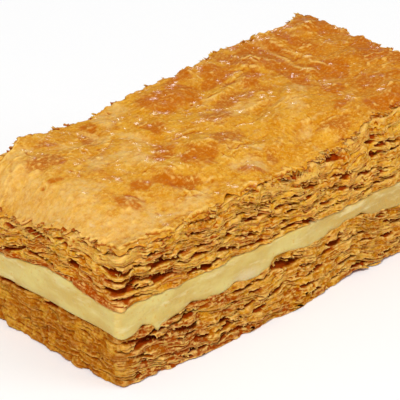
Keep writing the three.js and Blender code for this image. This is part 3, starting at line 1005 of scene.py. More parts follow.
def flake_field(seats, sizes, pattern, seed):
    """Curved ragged flakes: each one's root is at its seat, and it reaches out along its own axes.

    seats holds each flake's root, its direction across and its direction out; sizes holds its
    length across, its reach, its thickness, its droop and its curl, in millimetres.
    """
    spots, triangles = pattern
    root, across, out = (v[:, None, :] for v in seats)
    length, reach, thick, droop, curl = (v[:, None] for v in sizes)
    key = np.arange(len(sizes[0]))[:, None] + seed
    place = np.arange(len(spots))[None, :]
    u, v, side = spots.T[:, None, :]
    bitten = 0.45 * (draw(key, place) - 0.3) * v
    taper = 1 - 0.35 * v**2 * draw(key, 901) + 0.25 * (draw(key, place + 300) - 0.5)
    sideways = u * length / 2 * taper
    outwards = reach * (v - bitten + 0.25 * v * u * (draw(key, 902) - 0.5))
    wave = 0.12 * reach * (draw(key, place + 600) - 0.5)
    up = -droop * v**2 + curl * u**2 + wave + side * thick / 2 * (1.2 - v)
    points = root + across * sideways[..., None] + out * outwards[..., None]
    points[..., 2] += up
    first = np.arange(len(root))[:, None, None] * len(spots)
    return points.reshape(-1, 3), (triangles[None] + first).reshape(-1, 3)


def rim_flakes(side, count, seed):
    """Crumbs and small flakes along the crust's torn rim, most where the rim is ragged."""
    outline = Outline(CRUST_COLUMNS)
    edge = crust_edge(outline, side)
    smooth = outline.near * (1 - step(outline.x, 38, 48)) + 0.5 * outline.left
    total = np.cumsum(1 - 0.6 * smooth - 0.45 * outline.back - 0.6 * outline.right)
    key = np.arange(count)
    column = np.searchsorted(total, draw(key, seed) * total[-1])
    column = np.minimum(column, outline.count - 1)
    sunk = 1.7 * draw(key, seed + 1) ** 1.3
    x, y = outline.plan(0.5 + 0.4 * draw(key, seed + 2)[None, :] - edge[:, None])
    x, y = x[column, key], y[column, key]
    root = np.stack([x, y, UPPER.roof(x, y) - sunk + 0.1], axis=-1)
    across, out = flake_axes(outline.outward[column], key, seed + 3, 1.2, 0.5, 0.8)
    return (root, across, out), flake_sizes(RIM_FLAKE_SIZES, key, seed + 6)


def flake_sizes(ranges, key, seed):
    """Length, reach, thickness, droop and curl of flakes, drawn from ranges."""
    lengths, reaches, thicknesses, droops, most_curl = ranges
    length = mix(lengths, draw(key, seed) ** 2)
    reach = mix(reaches, draw(key, seed + 1))
    thick = mix(thicknesses, draw(key, seed + 2))
    droop = mix(droops, draw(key, seed + 3))
    return length, reach, thick, droop, most_curl * (draw(key, seed + 4) - 0.5)


def flake_axes(outward, key, seed, turn, twist, tilt):
    """Directions across and out of flakes on a side that faces outward, turned in plan, twisted and
    tilted by draws of up to these amounts."""
    u, v = outward.T
    angle = turn * (draw(key, seed) - 0.5)
    x, y = u * np.cos(angle) - v * np.sin(angle), u * np.sin(angle) + v * np.cos(angle)
    across = np.stack([-y, x, twist * (draw(key, seed + 1) - 0.5)], axis=-1)
    out = np.stack([x, y, tilt * (draw(key, seed + 2) - 0.6)], axis=-1)
    return across, out


def lip_flakes(side, count, seed):
    """Flakes along the torn lips of the leaves: where pastry hangs over a hollow, and elsewhere."""
    outline, rows, depth = side.outline, side.slab.rows, side.surface
    below = np.roll(depth, 2, axis=1)
    weight = 0.12 + np.clip(below - depth - 0.25, 0, 1.5)
    weight[:, :11] = weight[:, rows - 6:] = 0
    weight = weight * (1 - 0.75 * (1 - side.slab.openness(outline)))[:, None]
    total = np.cumsum(weight.ravel())
    picked = np.searchsorted(total, (np.arange(count) + draw(np.arange(count), seed)) / count * total[-1])
    column, row = np.unravel_index(np.minimum(picked, depth.size - 1), depth.shape)
    key = np.arange(count)
    hang = np.clip((below - depth)[column, row], 0, 1.5)
    place = drawn_in(outline.places()[column], depth[column, row] + 0.55)
    root = np.concatenate([place, side.z[column, row, FACE][:, None]], axis=1)
    across, out = flake_axes(outline.outward[column], key, seed + 1, 0.7, 0.35, 0.4)
    length, reach, thick, droop, curl = flake_sizes(LIP_FLAKE_SIZES, key, seed + 4)
    reach = 0.4 + reach + 0.1 * hang
    return (root, across, out), (length, reach, thick, droop * (0.4 + hang), curl)


def on_sheet(side, column, sheet):
    """Plan place on the outline, height and depth where a sheet's edge meets the outermost pastry,
    for places between the columns of a field, and whether the slab has the sheet there."""
    outline, surface = side.outline, side.surface
    within = np.nonzero(np.abs(side.share[0, :, 0] - 0.5) < 0.46)[0]
    before = np.floor(column).astype(int)
    found = 0
    for c, weight in ((before, before + 1 - column), (before + 1, column - before)):
        c = np.mod(c, outline.count)
        through = side.sheet[c, :, FACE]
        row = np.clip((through < sheet[..., None]).sum(axis=-1), within[0] + 1, within[-1] - 2)
        low, high = side.sheet[c, row - 1, FACE], side.sheet[c, row, FACE]
        share = np.clip((sheet - low) / (high - low), 0, 1)
        height = mix((side.z[c, row - 1, FACE], side.z[c, row, FACE]), share)
        depth = np.minimum(surface[c, row], np.minimum(surface[c, row + 1], surface[c, row + 2]))
        held = (sheet > low) & (sheet < high)
        found = found + weight * np.stack([outline.x[c], outline.y[c], height, depth, held])
    return found


def sheet_edges(side, count, seed):
    """Long thin torn edges of single sheets, which stand out of the leaves' sides: closed strips.

    Gives their points, their triangles and their look.
    """
    outline, slab = side.outline, side.slab
    key = np.arange(count)[:, None]
    t = np.linspace(0, 1, EDGE_POINTS)[None, :]
    total = np.cumsum(outline.near + slab.openness(outline) * (1 - outline.near) * 0.7)
    start = np.searchsorted(total, draw(key, seed) * total[-1])
    length = mix(EDGE_LENGTH, draw(key, seed + 1) ** 2)
    column = start + (t - 0.5) * length * outline.count / PERIMETER
    row = (slab.rows * mix((0.13, 0.87), draw(key, seed + 2))).astype(int)
    sheet = np.floor(side.sheet[start, row, FACE]) + 0.12 + 0 * t
    x, y, z, depth, held = on_sheet(side, column, sheet)
    ends = np.sqrt(np.maximum(0, 1 - (2 * t - 1) ** 2))
    ragged = 0.14 * noise(x, y, z, 0.8, seed + 3) + 0.12 * noise(x, y, z, 2.0, seed + 4)
    reach = held * ends * (mix(EDGE_REACH, draw(key, seed + 5)) + ragged)
    thick = mix(EDGE_THICKNESS, draw(key, seed + 6)) * (0.3 + 0.7 * ends)
    droop = mix((-0.1, 0.25), draw(key, seed + 7)) * ends
    laps = []
    for out, up, fall in EDGE_PROFILE:
        inwards = depth - np.where(out > 0, out * reach, out)
        plan = drawn_in(np.stack([x, y], axis=-1), inwards)
        height = z + up * thick - fall * droop
        laps.append(np.concatenate([plan, height[..., None]], axis=-1))
    points = np.stack(laps, axis=2).reshape(-1, 3)
    shown = np.tile(np.array(EDGE_LOOK), (count * EDGE_POINTS, 1))
    tone = np.repeat(draw(key[:, 0], seed + 8), EDGE_POINTS * len(EDGE_LOOK))
    dull = slab.dull_end * end_share(np.repeat(x.ravel(), len(EDGE_LOOK)))
    look = np.stack([shown[:, 0], shown[:, 1], tone, dull], axis=-1)
    return points, strip_triangles(count), look


def strip_triangles(count):
    """Triangles of this many closed strips, whose points lie section after section."""
    corners = len(EDGE_PROFILE)
    first = np.arange(count)[:, None, None] * EDGE_POINTS * corners
    here = np.arange(corners)[None, None, :]
    low = first + np.arange(EDGE_POINTS - 1)[None, :, None] * corners
    high = low + corners
    following = (here + 1) % corners
    walls = np.stack([low + here, low + following, high + following, high + here], axis=-1)
    last = first + (EDGE_POINTS - 1) * corners
    caps = np.concatenate([first[:, 0] + here[0, ::-1], last[:, 0] + here[0]])
    return as_triangles(np.concatenate([walls.reshape(-1, 4), caps]))


# ---------------------------------------------------------------------------------------------
# The glazed crust.

# Patches of colour on the crust: place along and across, and half sizes. The patches reach a little
# further than their half sizes, and their edges wander, more than the relief does.
PATCH_REACH = 1.25
PATCH_WANDER = 3.4
RELIEF_WANDER = 1.6
AMBER_PATCHES = (
    (55, 46, 6, 8), (64, 46, 6, 9), (36, 51, 3, 3), (45, 37, 2.5, 5), (41, 26, 4, 4), (45, 18, 6, 4),
    (75, 45, 6, 3), (84, 38, 4, 4), (92, 30, 3, 6), (120, 30, 5, 7),
    (31, 17, 4, 5), (16, 14.5, 4, 6), (24, 18, 3.5, 2.5), (94, 44, 4, 12), (103, 28, 6, 5),
    (101, 6, 7, 4), (95, 20, 4, 3), (78, 48, 5, 5), (107.5, 45, 2.5, 8), (120, 47, 4, 3), (50, 4, 4, 2.5),
    (11, 34, 2, 2), (36, 25, 4, 3), (70, 54, 5, 3), (88, 13, 3, 2), (113, 14, 4, 3),
)
BROWN_PATCHES = (
    (14, 43, 6, 4.5), (22, 50, 4, 2), (30, 46, 2.5, 4), (33, 13, 5, 3), (56, 19, 6, 4), (62, 29, 5, 4),
    (74, 33.5, 12, 3.5), (83, 6, 6, 3.5), (106, 16, 7, 4.5), (117, 28, 8, 4.5), (87, 50, 4, 6),
    (88, 44, 3, 5), (77, 41.5, 3, 2), (118, 54, 5, 4), (109, 52, 2.5, 5), (121, 20, 4, 6), (60, 8, 3, 2),
    (101, 47, 2, 8),
)
PALE_PATCHES = (
    (4, 20, 6, 16), (10, 8, 7, 5), (19, 12, 2.5, 8), (28, 6, 12, 3), (27, 33, 9, 3.5), (12, 27, 5, 4),
    (38, 38, 3, 9), (24.5, 45.5, 2.5, 4), (80, 20, 4, 4.5), (69, 28, 8, 3), (98, 43, 1.5, 13),
    (8, 46, 4, 9), (14, 52, 4, 3), (33, 47, 3, 5), (42, 50, 3, 5), (52, 7, 6, 4), (74, 10, 5, 3),
    (88, 26, 5, 4), (4, 36, 4, 10), (31, 27, 5, 4), (113, 5, 4, 5), (46, 52, 3, 4),
)
# Whitish patches on the glaze: partly its own white haze, partly painted glints and sheen.
HAZE_AND_GLINT_PATCHES = (
    (69, 28, 6, 2.5), (80, 20, 3, 4), (119, 23.5, 4, 1.5), (114, 19, 3, 1.5), (81, 37.5, 3, 1),
    (67, 38.5, 4, 1.5), (79, 11.7, 2.5, 0.8), (26, 16, 1.2, 1), (30, 12, 2.5, 2), (37, 9.5, 1.5, 1),
    (52, 15, 2.5, 1), (4.5, 22, 5, 17), (58, 12, 2, 1.2),
)
# Blisters and dips in the glazed top: place, half sizes, angle and height, which is swollen a little.
BLISTER_SWELL = 1.3
BLISTERS = (
    (50, 5, 6.5, 4, 10, 0.9), (33, 17, 5, 4, 30, 0.7), (47, 20, 7, 5, -20, 0.8), (60, 48, 11, 7, 10, 0.9),
    (74, 38, 12, 3, 8, 0.6), (101, 38, 3, 15, 4, -0.7), (104, 9, 8, 6, 0, 0.7), (16, 14, 3.5, 5, 20, 0.5),
    (85, 24, 5, 7, -30, 0.5), (72, 24, 9, 3, 20, -0.6), (90, 43, 6, 8, 15, 0.7), (112, 31, 7, 5, -15, 0.6),
    (24, 42, 9, 4, 25, 0.5), (115, 49, 8, 4, 10, 0.6), (62, 11, 8, 4, -10, 0.5), (40, 33, 4, 9, 15, -0.5),
    (19, 29, 7, 3, 40, 0.4), (80, 6, 6, 3, -8, 0.5), (30, 5, 8, 3, 5, 0.35), (9, 48, 5, 4, 0, 0.5),
)
# Where the glaze has come up in thin flakes: place and half sizes.
FLAKY_PATCHES = (
    (24, 43, 13, 7), (34, 10, 6, 5), (48, 44, 5, 8), (70, 38, 9, 4), (52, 14, 7, 4), (8, 50, 8, 6),
    (103, 44, 6, 8), (80, 11, 6, 4), (118, 23, 7, 5), (84, 44, 6, 5),
)
# Small holes in the glazed top: place and half sizes.
PINHOLES = (
    (7.5, 36, 0.8, 1.1), (16, 35, 0.7, 0.9), (90, 44, 0.5, 1.6), (62, 40, 0.7, 0.5), (2, 14.5, 1.3, 1.9),
    (3.4, 8.3, 1.4, 1.3), (44.7, 53, 0.4, 1.2),
)

# Chips in the crust's rim.
CHIP_STRETCH = 6.5
CHIP_LENGTH = (2, 5.5)
CHIP_DEPTH = (0.3, 1.7)
CHIP_SHARE = 0.62


def wandered(x, y, reach, octaves, seed):
    """Places moved about, so that what is drawn at them gets wandering edges."""
    return [v + reach * fractal(x, y, 0, 6.0, seed + 10 * i, octaves) for i, v in enumerate((x, y))]


def patchwork(x, y, patches):
    """How much of a colour each place has from a list of patches with wandering edges."""
    moved = wandered(x, y, PATCH_WANDER, 3, 311)
    total = sum(
        dome(*moved, (px, py), (PATCH_REACH * sx, PATCH_REACH * sy)) for px, py, sx, sy in patches)
    return step(total + 0.4 * fractal(x, y, 0, 2.8, 331, 3), 0.0, 1.0)


def brushed(x, y):
    """Fine slanting streaks of the brushed glaze, which show towards the right end."""
    turn = np.radians(38)
    lengthwise = x * np.cos(turn) + y * np.sin(turn)
    crosswise = y * np.cos(turn) - x * np.sin(turn)
    streaks = noise(0.3 * lengthwise, crosswise, 0, 0.7, 481)
    streaks = streaks + 0.6 * noise(0.2 * lengthwise, crosswise, 0, 1.7, 483)
    return step(streaks, 0.2, 1.1) * step(x, 40, 75)


def crust_relief(x, y):
    """Relief of the glazed top: blisters, dips, creases, edges of thin flakes and grain."""
    wander_x, wander_y = wandered(x, y, RELIEF_WANDER, 2, 341)
    relief = 0.4 * fractal(x, y, 0, 9.0, 401, 2)
    for px, py, sx, sy, angle, height in BLISTERS:
        relief = relief + BLISTER_SWELL * height * dome(wander_x, wander_y, (px, py), (sx, sy), angle)
    for px, py, sx, sy in PINHOLES:
        relief = relief - 0.5 * dome(x, y, (px, py), (sx, sy))
    creases = np.maximum(0, 1 - 7 * np.abs(noise(0.8 * wander_x, 1.3 * wander_y, 0, 8.0, 403)))
    layers = 3.2 * fractal(wander_x, wander_y, 0, 6.5, 405, 3)
    flake_edges = np.floor(layers) + step(layers - np.floor(layers), 0.4, 0.62)
    bubbles = np.maximum(0, noise(x, y, 0, 2.1, 411)) ** 2
    scabs = step(noise(0.7 * wander_x, wander_y, 0, 1.7, 415), 0.12, 0.34)
    scabs = scabs * (0.08 + 0.2 * patchwork(x, y, FLAKY_PATCHES))
    grain = 0.1 * fractal(x, y, 0, 1.1, 413, 2)
    relief = relief - 0.15 * creases + 0.1 * flake_edges + 0.25 * bubbles + scabs + grain
    return relief + 0.05 * brushed(x, y)


def crust_chips(outline):
    """How far the crust's rim is chipped back: at most once in each stretch."""
    stretches = int(round(PERIMETER / CHIP_STRETCH))
    stretch = PERIMETER / stretches
    home = np.floor(outline.along / stretch).astype(int)
    depth = np.zeros(outline.count)
    for cell in (home - 1, home, home + 1):
        key = 7000 + np.mod(cell, stretches) * 17
        middle = (cell + 0.5 + 0.4 * (draw(key, 2) - 0.5)) * stretch
        opened = lens(outline.along, middle, mix(CHIP_LENGTH, draw(key, 3)))
        chip = opened**2 * mix(CHIP_DEPTH, draw(key, 4)) * (draw(key, 1) <= CHIP_SHARE)
        depth = np.maximum(depth, chip)
    return depth


RIM_PROFILE = (
    # How far out and how high each lap of the crust's rim lies from its upper edge.
    (-2.2, -0.95), (-1.2, -0.85), (-0.5, -0.75), (-0.1, -0.62), (0.05, -0.42), (0.0, -0.2),
    (-0.18, -0.05),
)


def crust_edge(outline, side):
    """How far the crust's rim stands out from the plan: on the near side and the left end little
    further than the uppermost leaves."""
    top = UPPER.roof(outline.x, outline.y)
    stand = UPPER.edge(outline, UPPER.joints + 1) + UPPER.lean(outline, top)
    under = np.interp(outline.along, *top_leaf_edge(side), period=PERIMETER) + 0.1
    hugging = np.clip(outline.near + outline.left, 0, 1)
    stand = mix((stand, np.minimum(stand, under)), hugging)
    teeth = 0.35 * outline.noise(2.1, 421) + 0.2 * outline.noise(0.9, 423)
    return stand + teeth - crust_chips(outline)


def top_leaf_edge(side):
    """Distances round the plan, and how far the uppermost leaves stand out there."""
    below_roof = (side.share[0, :, 0] > 0.92) & (side.share[0, :, 0] < 0.98)
    order = np.argsort(side.outline.along)
    return side.outline.along[order], -side.surface[:, below_roof].min(axis=1)[order]


def crust_surface(x, y, depth, curl):
    """Height of the crust's upper face with its rim, which curls up and down a little."""
    rim = 1 - step(depth, 0.3, 2.4)
    crumbled = 0.25 * fractal(x, y, 0, 1.4, 437) * rim
    return UPPER.roof(x, y) + curl * (1 - step(depth, 0.5, 4.0)) + crumbled


def crust_look(points, triangles, rise):
    """Colour values of the crust: amber, brown, pale and how proud each point stands. Proud carries a
    painted highlight on points that stand proud and painted shade in pits, in the grooves of torn
    places, on faces that look down and down the rim's side, where the rim is also browner. Pale is at
    most three quarters outside the whitish patches of haze and painted glints."""
    x, y, z = points.T
    amber = patchwork(x, y, AMBER_PATCHES) + 0.5 * step(x, 66, 104)
    amber = np.maximum(amber, 0.7 * step(fractal(x, y, z, 5.0, 431, 3), 0.35, 0.8))
    brown = patchwork(x, y, BROWN_PATCHES) + 0.8 * step(x, 119, 124)
    brown = np.maximum(brown, 0.6 * step(fractal(x, y, z, 6.0, 441, 3), 0.4, 0.8))
    pale = np.maximum(patchwork(x, y, PALE_PATCHES), step(fractal(x, y, z, 4.0, 451, 3), 0.35, 0.8))
    pale = np.maximum(pale, 0.45 * brushed(x, y)) + 0.3 * step(-x, -45, -5)
    pale = pale * (1 - 0.7 * step(torn_back(x, y), 0.4, 0.9))
    # Painted highlight: whitish patches of glints and sheen, with some white haze of the glaze.
    haze_and_glint = patchwork(x, y, HAZE_AND_GLINT_PATCHES) * (0.6 + 0.4 * noise(x, y, 0, 1.3, 461))
    # Painted highlight where a point stands proud. Painted shade in pits, in the groove at the foot of
    # torn places, on faces that look down, and down the rim's side, which is also browner.
    hanging = step(-corner_normals(points, triangles)[:, 2], 0.1, 0.9)
    proud = 0.5 + 2.0 * cavity(points, triangles) - 0.2 * step(torn_back(x, y), 1.0, 1.4)
    proud = np.where(rise < 0, np.minimum(proud, 0.54), proud) + 0.4 * rise - 0.25 * hanging
    return np.stack([amber, brown, np.maximum(0.75 * np.minimum(pale, 1), haze_and_glint), proud], axis=-1)


def crust(material, side):
    """The glazed crust: a lid with a torn rim, and a lumpy top drawn in to the middle line."""
    outline = Outline(CRUST_COLUMNS)
    edge = crust_edge(outline, side)
    curl = 0.2 * outline.noise(5.0, 425) + 0.1 * outline.noise(1.5, 427)
    thick = 0.9 + 0.5 * outline.noise(3.0, 429)
    body = Body(1)
    laps = []
    for out, rise in RIM_PROFILE:
        crumbly = 0.15 * outline.noise(1.1, 433, 2 * rise)
        x, y = outline.plan(-edge - out - crumbly)
        points = np.stack([x, y, crust_surface(x, y, 0, curl) + rise * thick], axis=-1)
        laps.append(body.add_lap(outline, points, (rise,)))
    rim = -edge + RIM_INSET
    for i in range(1, CRUST_LAPS):
        share = (i / CRUST_LAPS) ** LAP_GRADING
        depth = rim + (WIDTH / 2 - LAST_LAP - rim) * share
        x, y = outline.plan(depth)
        points = np.stack([x, y, crust_surface(x, y, depth, curl)], axis=-1)
        laps.append(body.add_lap(outline, points, (0.0,)))
    body.quads += [lap_quads(a, b) for a, b in zip(laps, laps[1:])]

    def underside(x, y):
        return UPPER.roof(x, y) - 1.5 * LID

    body.shut(outline, laps[-1], (), lambda x, y: crust_surface(x, y, WIDTH, 0), (0.0,), True)
    body.shut(outline, laps[0], (FIRST_INSET, *INSETS), underside, (UNDERSIDE_RISE,), False)
    triangles = body.triangles()
    look = crust_look(body.points, triangles, body.values[:, 0])
    return make_object("crust", body.points, triangles, look, material)


# ---------------------------------------------------------------------------------------------
# The custard.

CUSTARD_PROFILE = (
    # How far out each lap of the custard's side lies, and its share of the height.
    (-0.5, 0.0), (0.05, 0.0), (0.25, 0.05), (0.34, 0.16), (0.37, 0.3), (0.36, 0.42), (0.35, 0.54),
    (0.34, 0.66), (0.31, 0.77), (0.27, 0.88), (0.17, 0.96), (0.02, 1.0), (-0.5, 1.0),
)
# Where custard is smeared down over the lower leaves on the near side, or its edge is drawn up: x,
# half width and drop.
SMEARS = (
    (12.2, 0.8, 1.5), (13.0, 2.4, 1.3), (17, 4.0, 0.9), (2.5, 4, 0.9), (7.5, 1.2, -0.5),
    (24, 1.5, -0.5), (33, 5, 0.7), (39, 1.2, -0.4), (46, 6, 0.9), (53, 2, -0.5), (66, 8, 0.6),
    (74, 1.5, -0.4), (86, 2, -0.5), (98, 9, 0.7),
)


def custard_sides(outline):
    """The laps of the custard's side, from below upwards."""
    floor = custard_floor(outline.x, outline.y) + GAP / 2
    roof = custard_roof(outline.x, outline.y) - GAP / 2
    drop = sum(fall * bell(outline.x, x, width) for x, width, fall in SMEARS) * outline.near
    stand = 0.5 * outline.left - 0.2 * (1 - outline.left) + 0.3 * wobble(outline.along, 26, 900)
    drop = drop + 0.25 * outline.noise(2.2, 505) * (1 - outline.left)
    for out, share in CUSTARD_PROFILE:
        sagging = drop * max(0, 1 - share / 0.4) ** 1.5
        height = floor + share * (roof - floor) - sagging * (out > -0.5)
        out = stand + out + 0.5 * np.clip(sagging, -1, 1)
        soft = 0.3 * fractal(outline.x, outline.y, 1.4 * height, 5.0, 501, 3)
        dimples = 0.05 * outline.noise(1.0, 503, height)
        x, y = outline.plan(-(out + soft + dimples))
        yield np.stack([x, y, height], axis=-1)


def custard(material):
    """The custard, which is smooth and stands proud of the pastry at the left end."""
    outline = Outline(CUSTARD_COLUMNS)
    body = Body(0)
    laps = [body.add_lap(outline, points, ()) for points in custard_sides(outline)]
    Place.over_solid("custard", body.points)
    body.quads += [lap_quads(a, b) for a, b in zip(laps, laps[1:])]
    inset = (FIRST_INSET,)
    body.shut(outline, laps[-1], inset, lambda x, y: custard_roof(x, y) - GAP / 2, (), True)
    body.shut(outline, laps[0], inset, lambda x, y: custard_floor(x, y) + GAP / 2, (), False)
    x, y, z = body.points.T
    far = step(x, 40, 100)
    milky = bell(x, 43, 5) * bell(z, 15.3, 1.7) * (y < WIDTH / 2)
    look = np.stack([far, milky, 0 * x, 0 * x], axis=-1)
    return make_object("custard_layer", body.points, body.triangles(), look, material)


# ---------------------------------------------------------------------------------------------
# Materials.

def screen(red, green, blue):
    """A linear colour from the 0 to 255 values of a screen."""
    shares = np.array([red, green, blue]) / 255
    return tuple(np.where(shares <= 0.04045, shares / 12.92, ((shares + 0.055) / 1.055) ** 2.4))


class Shader:
    """A material's node tree, with short calls for the nodes that are used here."""

    def __init__(self, name):
        self.material = bpy.data.materials.new(name)
        self.material.use_nodes = True
        self.nodes = self.material.node_tree.nodes
        self.links = self.material.node_tree.links
        self.surface = self.nodes["Principled BSDF"]
        self.place = self.nodes.new("ShaderNodeTexCoord").outputs["Object"]

    def set(self, socket, value):
        """A socket's own value, or a link into it."""
        if isinstance(value, bpy.types.NodeSocket):
            self.links.new(value, socket)
        elif isinstance(value, tuple):
            socket.default_value = (*value, 1) if len(value) < len(socket.default_value) else value
        else:
            socket.default_value = value

    def noise(self, size, detail, rough, stretch=(1, 1, 1)):
        """Noise whose bumps are about this many millimetres across."""
        mapping = self.nodes.new("ShaderNodeMapping")
        mapping.inputs["Scale"].default_value = stretch
        self.links.new(self.place, mapping.inputs["Vector"])
        node = self.nodes.new("ShaderNodeTexNoise")
        for name, value in (("Scale", 1 / (size * MM)), ("Detail", detail), ("Roughness", rough)):
            node.inputs[name].default_value = value
        self.links.new(mapping.outputs["Vector"], node.inputs["Vector"])
        return node.outputs["Fac"]

    def ramp(self, value, low, high, least=0.0, most=1.0):
        """A smooth step of the value from low to high."""
        node = self.nodes.new("ShaderNodeMapRange")
        node.interpolation_type = "SMOOTHSTEP"
        ends = {"From Min": low, "From Max": high, "To Min": least, "To Max": most}
        for name, number in ends.items():
            node.inputs[name].default_value = number
        self.links.new(value, node.inputs["Value"])
        return node.outputs["Result"]

    def times(self, a, b):
        """Two values multiplied."""
        node = self.nodes.new("ShaderNodeMath")
        node.operation = "MULTIPLY"
        self.set(node.inputs[0], a)
        self.set(node.inputs[1], b)
        return node.outputs[0]

    def blend(self, share, a, b):
        """The first colour, with this share of the second one laid over it."""
        node = self.nodes.new("ShaderNodeMix")
        node.data_type = "RGBA"
        self.set(node.inputs[0], share)
        self.set(node.inputs[6], a)
        self.set(node.inputs[7], b)
        return node.outputs[2]

    def layers(self, colour, *layers):
        """A screen colour with others laid over it, each by its own share."""
        face = screen(*colour)
        for share, over in layers:
            face = self.blend(share, face, screen(*over))
        return face

    def look(self):
        """The four values that the mesh carries for its colours."""
        node = self.nodes.new("ShaderNodeVertexColor")
        node.layer_name = "look"
        parts = self.nodes.new("ShaderNodeSeparateColor")
        self.links.new(node.outputs["Color"], parts.inputs[0])
        return (*parts.outputs[:3], node.outputs["Alpha"])

    def bump(self, height, distance, below=None):
        """A normal bumped by a height of this many millimetres, over another one."""
        node = self.nodes.new("ShaderNodeBump")
        node.inputs["Distance"].default_value = distance * MM
        self.links.new(height, node.inputs["Height"])
        if below is not None:
            self.links.new(below, node.inputs["Normal"])
        return node.outputs["Normal"]

    def finish(self, colour, normal, **others):
        """The finished material, with the surface's other inputs given by name."""
        self.set(self.surface.inputs["Base Color"], colour)
        self.set(self.surface.inputs["Normal"], normal)
        for name, value in others.items():
            self.set(self.surface.inputs[name.replace("_", " ")], value)
        return self.material


# Colours of the leaves of each slab: light, middle, dark, which is also painted shade in pits, and
# deep, the painted red-brown shade in the hollows and under overhangs.
PLAIN_LEAVES = ((198, 136, 20), (174, 99, 0), (146, 58, 0), (142, 46, 0))
BAKED_LEAVES = ((218, 160, 38), (195, 120, 0), (162, 68, 0), (150, 48, 0))


def leaf_material(name, colours):
    """Dry baked leaves: a pale painted highlight on proud torn edges, brown painted shade in pits, and
    deep red-brown painted shade in the hollows and under overhangs.
    """
    light, middle, dark, deep = colours
    s = Shader(name)
    hollow, edge, tone, dull = s.look()
    lively = s.ramp(dull, 0, 1, 1, 0.45)
    mottle = s.ramp(s.noise(3.2, 4, 0.65, (1, 1, 1.5)), 0.38, 0.62)
    streaks = s.ramp(s.noise(1.3, 3, 0.6, (0.4, 0.4, 2.2)), 0.5, 0.7)
    spots = s.times(s.ramp(s.noise(4.0, 5, 0.7), 0.48, 0.6), dull)
    golden = s.times(s.ramp(s.noise(5.0, 5, 0.7), 0.5, 0.62), dull)
    crumbs = s.times(s.ramp(s.noise(0.75, 3, 0.6, (0.8, 0.8, 1.2)), 0.5, 0.66), lively)
    specks = s.ramp(s.noise(0.65, 2, 0.6), 0.56, 0.7)
    face = s.layers(
        middle,
        (mottle, light),
        (s.ramp(tone, 0.5, 1.0, 0, 0.6), (222, 178, 88)),
        (s.ramp(tone, 0.55, 0.1), dark),
        (s.times(streaks, 0.5), dark),
        (s.ramp(dull, 0, 1, 0, 0.6), (182, 118, 16)),
        (s.times(spots, 0.75), (136, 62, 0)),
        (s.times(golden, 0.6), (206, 152, 44)),
        (s.times(crumbs, 0.55), (228, 182, 92)),
        (s.times(specks, 0.6), dark),
        # Painted highlight on proud points, then painted shade in pits.
        (s.times(s.ramp(edge, 0.5, 0.8, 0, 0.85), lively), (234, 190, 106)),
        (s.ramp(edge, 0.48, 0.25, 0, 0.85), dark),
        # Painted shade, deep red-brown, in the hollows and under overhangs.
        (s.ramp(hollow, 0.05, 0.85, 0, 0.95), deep))
    coarse = s.bump(s.noise(1.0, 4, 0.6), 0.22)
    normal = s.bump(s.noise(0.5, 3, 0.6), 0.1, coarse)
    return s.finish(
        face, normal, Roughness=0.8, Specular_IOR_Level=0.02, Subsurface_Weight=0.2,
        Subsurface_Radius=(1.0, 0.3, 0.05), Subsurface_Scale=0.0014)


def crust_material():
    """Glazed crust: pale gold to amber and red-brown, under an uneven clear glaze, with painted highlights
    on proud points and painted shade in pits and down the rim.
    """
    s = Shader("glazed_crust")
    amber, brown, pale, proud = s.look()
    mottle = s.ramp(s.noise(5.5, 5, 0.62, (1, 1.2, 1)), 0.36, 0.64)
    veil = s.ramp(s.noise(1.8, 4, 0.7), 0.38, 0.6, 0.35, 1.0)
    haze = s.ramp(s.noise(1.4, 4, 0.65), 0.46, 0.72)
    dark = s.ramp(s.noise(2.4, 4, 0.65), 0.5, 0.72)
    grains = s.ramp(s.noise(0.75, 3, 0.65, (0.8, 1, 1)), 0.5, 0.63)
    specks = s.ramp(s.noise(0.75, 3, 0.65), 0.54, 0.66)
    face = s.layers(
        (205, 132, 14),
        (mottle, (219, 156, 42)),
        (s.times(s.ramp(pale, 0, 0.75, 0, 0.95), veil), (224, 178, 101)),
        (s.times(haze, 0.45), (228, 170, 52)),
        (s.ramp(brown, 0, 1, 0, 0.85), (182, 101, 24)),
        (s.ramp(amber, 0, 1, 0, 0.9), (188, 98, 0)),
        (s.times(dark, s.ramp(pale, 0, 0.75, 0.45, 0.22)), (179, 89, 0)),
        (s.times(grains, s.ramp(amber, 0, 1, 0.42, 0.22)), (238, 190, 92)),
        (s.times(specks, s.ramp(pale, 0, 0.7, 0.38, 0.18)), (174, 90, 4)),
        # Painted highlight: whitish glints and sheen, with some white haze of the glaze.
        (s.ramp(pale, 0.76, 1.0, 0, 0.6), (232, 200, 146)),
        # Painted highlight on proud points, then painted shade in pits, torn grooves, under overhangs and
        # down the rim.
        (s.ramp(proud, 0.52, 0.72, 0, 0.6), (247, 202, 108)),
        (s.ramp(proud, 0.47, 0.2, 0, 0.8), (172, 78, 0)))
    coarse = s.bump(s.times(s.noise(1.5, 4, 0.6), s.ramp(pale, 0, 1, 1, 0.45)), 0.35)
    normal = s.bump(s.noise(0.6, 3, 0.6), 0.1, coarse)
    glints = s.times(s.ramp(s.noise(3.0, 3, 0.6), 0.52, 0.64), 0.55)
    return s.finish(
        face, normal, Roughness=0.6, Specular_IOR_Level=0.04, Coat_Weight=glints, Coat_Roughness=0.22,
        Subsurface_Weight=0.12, Subsurface_Radius=(1.0, 0.45, 0.12), Subsurface_Scale=0.0015)


